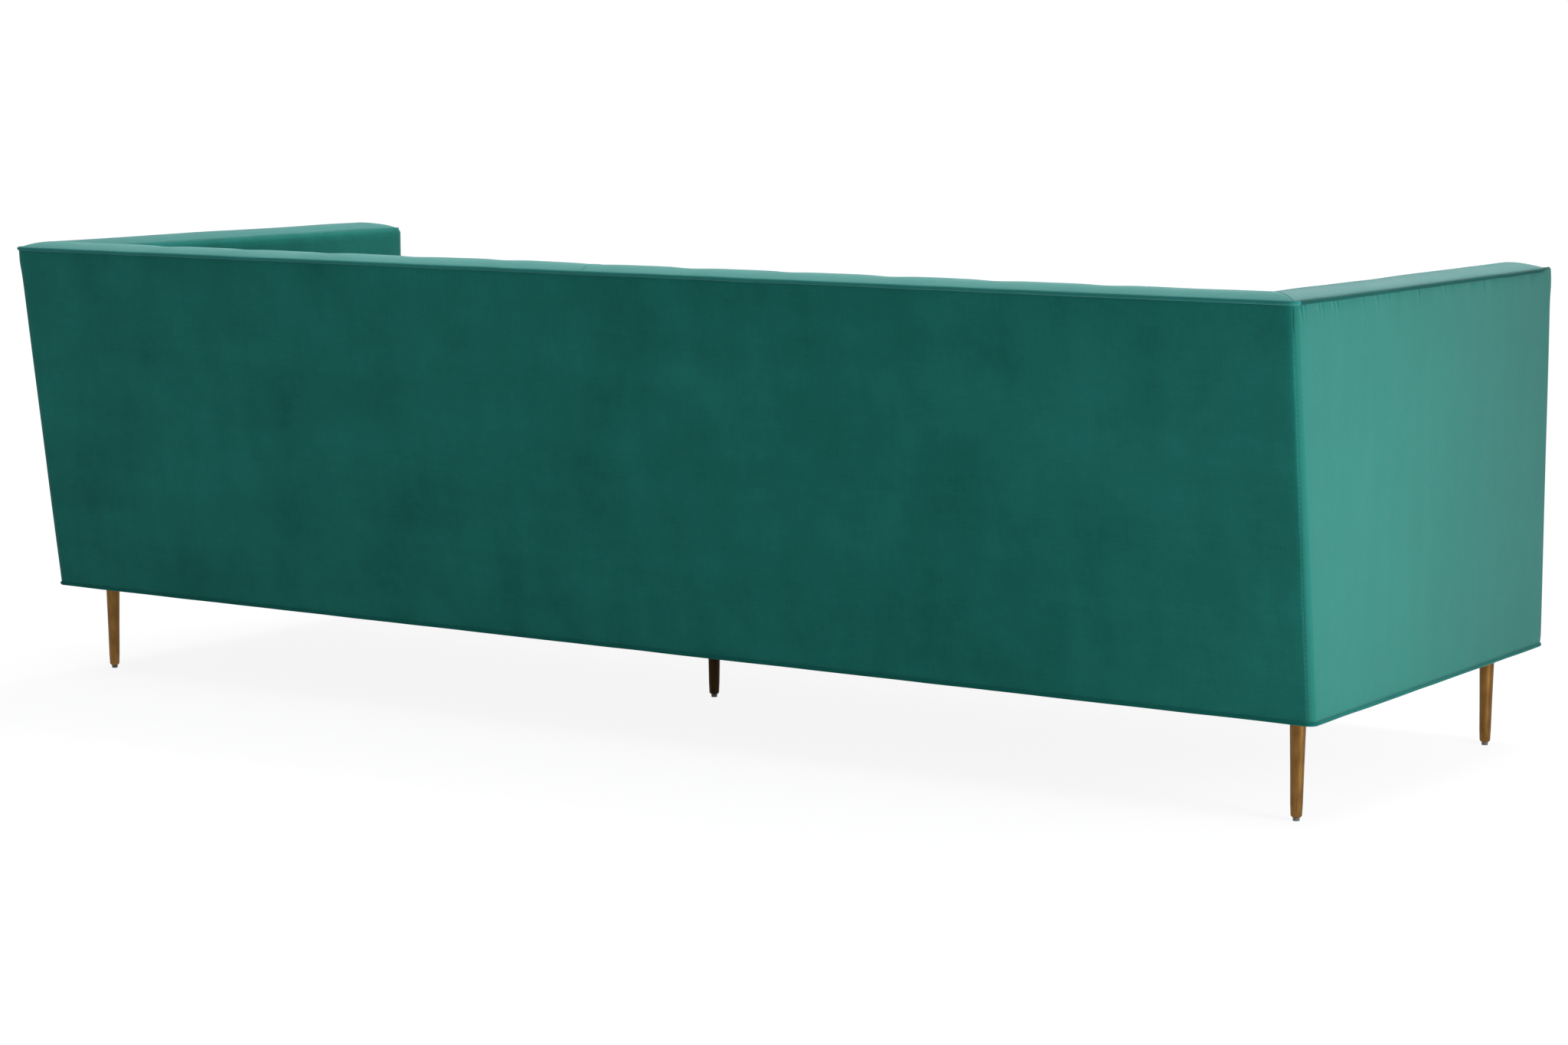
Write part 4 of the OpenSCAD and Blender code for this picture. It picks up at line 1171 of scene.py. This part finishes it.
# %% Blowing cloth up
def inflate(piece, held, pressure, steps, slack):
    """Runs the cloth simulation with the held points fixed, and keeps its last frame."""
    hold(piece)
    group = piece.vertex_groups.new(name="held")
    group.add([int(i) for i in np.nonzero(held)[0]], 1.0, "REPLACE")
    bpy.ops.object.modifier_add(type="CLOTH")
    cloth = piece.modifiers[-1]
    for key, value in {
        "quality": 4, "mass": 0.25, "vertex_group_mass": "held", "shrink_min": -slack,
        "tension_stiffness": 12, "compression_stiffness": 12, "shear_stiffness": 4,
        "bending_stiffness": 0.4, "use_pressure": True, "uniform_pressure_force": pressure,
    }.items():
        setattr(cloth.settings, key, value)
    cloth.settings.effector_weights.gravity = 0
    cloth.point_cache.frame_start, cloth.point_cache.frame_end = 1, steps
    for number in range(1, steps + 1):
        bpy.context.scene.frame_set(number)
    bpy.ops.object.modifier_apply(modifier=cloth.name)
    bpy.context.scene.frame_set(1)
    piece.vertex_groups.clear()


# %% Blowing the quilt up
edges = seam_gap(co, seam_edges) < 0.0032
rim = (along < 0.004) | (along > run[-1] - 0.004)
inflate(quilt, edges | rim, 3.0, 14, slack=0.012)
moved = points(quilt) - flat_co
out = (moved * flat_way).sum(1)
side_slip = moved - out[:, None] * flat_way
limit = puff * (0.30 + 0.70 * ends)
eased = limit * (1 - 0.25 * np.exp(-(out / limit - 0.75) / 0.25))
out = np.where(out > limit * 0.75, eased, out)
print("quilt swelled by", round(float(out.max()) * 1000, 1), "mm")
put(quilt, flat_co + flat_way * out[:, None] + np.clip(side_slip, -0.004, 0.004))
co = points(quilt)
co[:, 1] = np.maximum(co[:, 1], quilt_low.y)
put(quilt, co)
wall(quilt, 0.004)
dress(quilt, ["inside_back"])

# %% [markdown]
# ## Seat cushions
# Each loose cushion is a foam block in a velvet case: a top, a bottom, a band between them, and a
# welt in both seams. It is blown up as cloth between the two seams, which hold their line, so the
# top crowns and the band bulges. Its underside is flat, because it rests on the deck.

# %% One cushion
case_low, case_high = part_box("seat_cushion_cover_left")
case_mid, case_half = (case_low + case_high) / 2, (case_high - case_low) / 2
edge_welt_r = 0.0028
low_seam, high_seam = case_low.z + edge_welt_r + 0.0006, 0.4285
case_inset, draw = 0.0042, 0.005
slip, side_slip_limit = 0.002, 0.0035


def plan_share(co):
    """Each point's place in the case's plan, from -1 to 1 both ways."""
    return (np.clip((co[:, i] - case_mid[i]) / case_half[i], -1, 1) for i in (0, 1))


def draw_in(co):
    """Pulls the sides in between the corners, in plan."""
    u, v = plan_share(co)
    co[:, 0] -= draw * u * np.abs(u) * (1 - v**2)
    co[:, 1] -= draw * v * np.abs(v) * (1 - u**2)
    return co


body = block(
    "left_seat_cushion",
    (case_low.x + case_inset, case_low.y + case_inset, case_low.z + 0.0002),
    (case_high.x - case_inset, case_high.y - case_inset, high_seam + 0.0012),
    0.026, 6, runs_along(2),
)
body.data.remesh_voxel_size = 0.008
# The remeshed block is an even grid of small faces, which cloth needs to swell evenly.
hold(body)
bpy.ops.object.voxel_remesh()
put(body, draw_in(points(body)))

# %% Blowing the cushion up
co = points(body)
start = co.copy()
u, v = plan_share(co)
rise = case_high.z - high_seam - 0.0016
seam_rows = (np.abs(co[:, 2] - high_seam) < 0.006) | (np.abs(co[:, 2] - low_seam) < 0.005)
floor_face = co[:, 2] < case_low.z + 0.004
near_corner = np.hypot(*(
    np.clip(np.abs(share) * half - half + 0.03, 0, None)
    for share, half in ((u, case_half.x), (v, case_half.y))
)) > 0.021
near_edge = (np.abs(u) > 0.985) | (np.abs(v) > 0.975) | near_corner
inflate(body, (seam_rows | floor_face) & near_edge, 4.0, 20, slack=0.01)
moved = points(body) - start
up = np.clip(moved[:, 2], -slip, None)
up = rise * (1 - np.exp(-up / (rise * 0.55)))
moved[:, 2] = np.where(start[:, 2] > high_seam - 0.02, up, np.clip(moved[:, 2], -slip, slip))
moved[:, :2] = np.clip(moved[:, :2], -side_slip_limit, side_slip_limit)
print("cushion crowned by", round(float(up.max()) * 1000, 1), "mm")
put(body, start + moved)
modify(body, "SUBSURF", levels=1, render_levels=1)
co = points(body)
for axis, margin in ((0, 0.0012), (1, 0.0012), (2, 0)):
    co[:, axis] = np.clip(co[:, axis], case_low[axis] + margin, case_high[axis] - margin)
put(body, co)
print("cushion points", len(co))


# %% Cushion welts
def case_path(z):
    """Outline of the case at a height, with the drawn-in sides."""
    inset = edge_welt_r + 0.0004
    (x0, y0), (x1, y1) = (
        (corner.x + way * inset, corner.y + way * inset)
        for corner, way in ((case_low, 1), (case_high, -1))
    )
    path = rounded_path([(x1, y0, z), (x1, y1, z), (x0, y1, z), (x0, y0, z)], 0.027, closed=True)
    return [Vector(p) for p in draw_in(np.array([list(p) for p in path]))]


welts = join("left_cushion_welts", [
    tube(f"case_welt_{k}", wander(case_path(z), 0.0003, 3.0 + k), edge_welt_r, closed=True)
    for k, z in enumerate((low_seam, high_seam))
])

# %% Zip
# Two tapes, a row of coils and a slider with its pull, on the rear side of the case.
zip_low, zip_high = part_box("seat_cushion_zip_left")
zip_y, zip_z = zip_low.y, (zip_low.z + zip_high.z) / 2
coil_pitch = 0.0022


def zip_block(name, x0, x1, y0, y1, z0, z1, *bevelling):
    """A block whose y and z are counted from the middle of the closed zip."""
    return block(
        name, (x0, zip_y + y0, zip_z + z0), (x1, zip_y + y1, zip_z + z1), *bevelling
    )


tapes = [
    zip_block("tape", zip_low.x, zip_high.x, 0, 0.0006, z0, z1, 0.0002, 2, runs_along(0))
    for z0, z1 in ((-0.007, -0.0006), (0.0006, 0.007))
]
x = zip_low.x + 0.004
coils = zip_block("coil", x, x + 0.0012, 0.0005, 0.0014, -0.0022, 0.0022, 0.0003, 1)
modify(
    coils, "ARRAY", count=int((zip_high.x - zip_low.x - 0.03) / coil_pitch),
    use_relative_offset=False, use_constant_offset=True,
    constant_offset_displace=(coil_pitch, 0, 0),
)
x = zip_high.x
slider = zip_block("slider", x - 0.018, x - 0.009, 0.0014, 0.0032, -0.0045, 0.0045, 0.0006)
pull = zip_block("pull", x - 0.036, x - 0.0165, 0.0018, 0.0029, -0.0022, 0.0022, 0.0004)
zip_tape = join("left_cushion_zip_tapes", [*tapes, coils])
zip_slider = join("left_cushion_zip_slider", [slider, pull])


# %% Second cushion and finish
def mirrored(piece):
    """A copy on the other side of the sofa's middle."""
    made = twin(piece)
    made.name = made.data.name = piece.name.replace("left", "right")
    put(made, points(made) * (-1, 1, 1))
    edit(made, "FACE")
    bpy.ops.mesh.flip_normals()
    clear()
    return made


left_set = [body, welts, zip_tape, zip_slider]
right_set = [mirrored(piece) for piece in left_set]
for word, (case, edging, tape, slider) in (("left", left_set), ("right", right_set)):
    co = points(case)
    high = np.clip((co[:, 2] - high_seam) / 0.012, 0, 1)
    co[:, 2] -= 0.0012 * high * (1 + lumps(co, 5, 4.0))
    put(case, co)
    ride_on = f"{word}_cushion"
    dress(case, [f"seat_cushion_cover_{word}"], ride_on)
    dress(edging, (), ride_on, "velvet_cord")
    dress(tape, [f"seat_cushion_zip_{word}"], ride_on, "zip_plastic", angle=40)
    dress(slider, (), ride_on, "steel", angle=40)

# %% [markdown]
# ## Deck and underside cloth
# Below the cushions lies a flat cloth deck, sewn across near its front, and below the frame a thin
# black cloth is stapled on to keep the dust out.

# %% Deck
deck_low, deck_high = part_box("seat_deck")
deck_face = deck_z - 0.0004
deck = panel(
    "seat_deck_cloth", "up", (deck_low.x, front_y + border_turn - 0.0004, deck_face),
    (deck_high.x, deck_high.y, deck_face),
)
cut_up(deck, (0, 99), (1, 60))
co = points(deck)
seam_line, seam_width, seam_dip = front_y + 0.12, 0.003, 0.0016
co[:, 2] -= seam_dip * np.exp(-((co[:, 1] - seam_line) / seam_width) ** 2)
co[:, 2] -= 0.0004 * (1 + lumps(co, 5, 2.0))
put(deck, co)
roll_edges(deck, 0.0035, 0.0018, lambda at: at.y < front_y + 0.006)
wall(deck, 0.0022)
deck_cut = [span + 2 * 0.020 for span in (deck_high - deck_low)[:2]]
dress(deck, ["seat_deck"], cut=deck_cut)

# %% Underside cloth
cloth_low, cloth_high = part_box("dust_cover")
cloth_z = cloth_low.z
under = panel(
    "underside_cloth", "down", (cloth_low.x, cloth_low.y, cloth_z),
    (cloth_high.x, cloth_high.y, cloth_z),
)
cut_up(under, (0, 99), (1, 50))
co = points(under)
co[:, 2] += 0.0006 * swell(rim_gap(under), 0.2) * (0.5 + 0.5 * lumps(co, (6, 6, 1), 6.0))
put(under, co)
wall(under, 0.0004)
under_cut = [span + 2 * 0.015 for span in (cloth_high - cloth_low)[:2]]
dress(under, ["dust_cover"], slot="dust_cloth", cut=under_cut)

# %% Staples
staple = block("frame_staples", (-0.005, -0.0006, 0), (0.005, 0.0006, 0.0007), 0.0002, 1)
inset = 0.012
rows = [
    (x, y, 0) for x in np.linspace(cloth_low.x + 0.05, cloth_high.x - 0.05, 24)
    for y in (cloth_low.y + inset, cloth_high.y - inset)
]
rows += [
    (x, y, 90) for y in np.linspace(cloth_low.y + 0.06, cloth_high.y - 0.06, 8)
    for x in (cloth_low.x + inset, cloth_high.x - inset)
]
spots = []
for x, y, turn in rows:
    skew = 8 * noise.noise(Vector((x * 40, y * 40, 0)))
    spots.append(((x, y, cloth_z - 0.0006), (0, 0, math.radians(turn + skew))))
dress(scatter(staple, spots), slot="steel", angle=40)


# %% [markdown]
# ## Legs
# A leg is a round bar turned to a slight taper, with a narrow bevel at its foot. A disc is drawn
# out ring by ring, each ring scaled to the bar's radius there, and the small grey glide under it is
# the CAD's own. The middle leg stands in the dark under the sofa, and its brass is darkened almost
# to black as painted shade.

# %% Legs
def turned_leg(node, look=None, foot_r=0.0083):
    low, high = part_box(node)
    mid, top_r = (low + high) / 2, (high.x - low.x) / 2
    outline = [
        (foot_r - 0.0030, low.z), (foot_r - 0.0024, low.z + 0.0003),
        (foot_r - 0.0003, low.z + 0.0026), (foot_r, low.z + 0.0034),
        (foot_r + 0.0008, low.z + 0.02), ((foot_r + top_r) / 2, mid.z),
        (top_r, high.z - 0.0008), (top_r, high.z + 0.0004),
    ]
    clear()
    bpy.ops.mesh.primitive_circle_add(
        vertices=64, radius=outline[0][0], location=(mid.x, mid.y, low.z), fill_type="NGON"
    )
    piece = fresh(f"{node}_turned")
    edit(piece, "FACE")
    for (r0, z0), (r1, z1) in zip(outline, outline[1:]):
        bpy.ops.mesh.extrude_region_move(TRANSFORM_OT_translate={"value": (0, 0, z1 - z0)})
        bpy.ops.transform.resize(value=(r1 / r0, r1 / r0, 1))
    bpy.ops.mesh.select_all(action="SELECT")
    bpy.ops.mesh.normals_make_consistent(inside=False)
    clear()
    dress(piece, [node], slot="aged_brass", look=look, angle=30)


for place in ("front_left", "front_right", "rear_left", "rear_right"):
    turned_leg(f"{place}_leg")
# The middle leg gets the brass with painted shade.
turned_leg("middle_leg", brass_with_painted_shade)
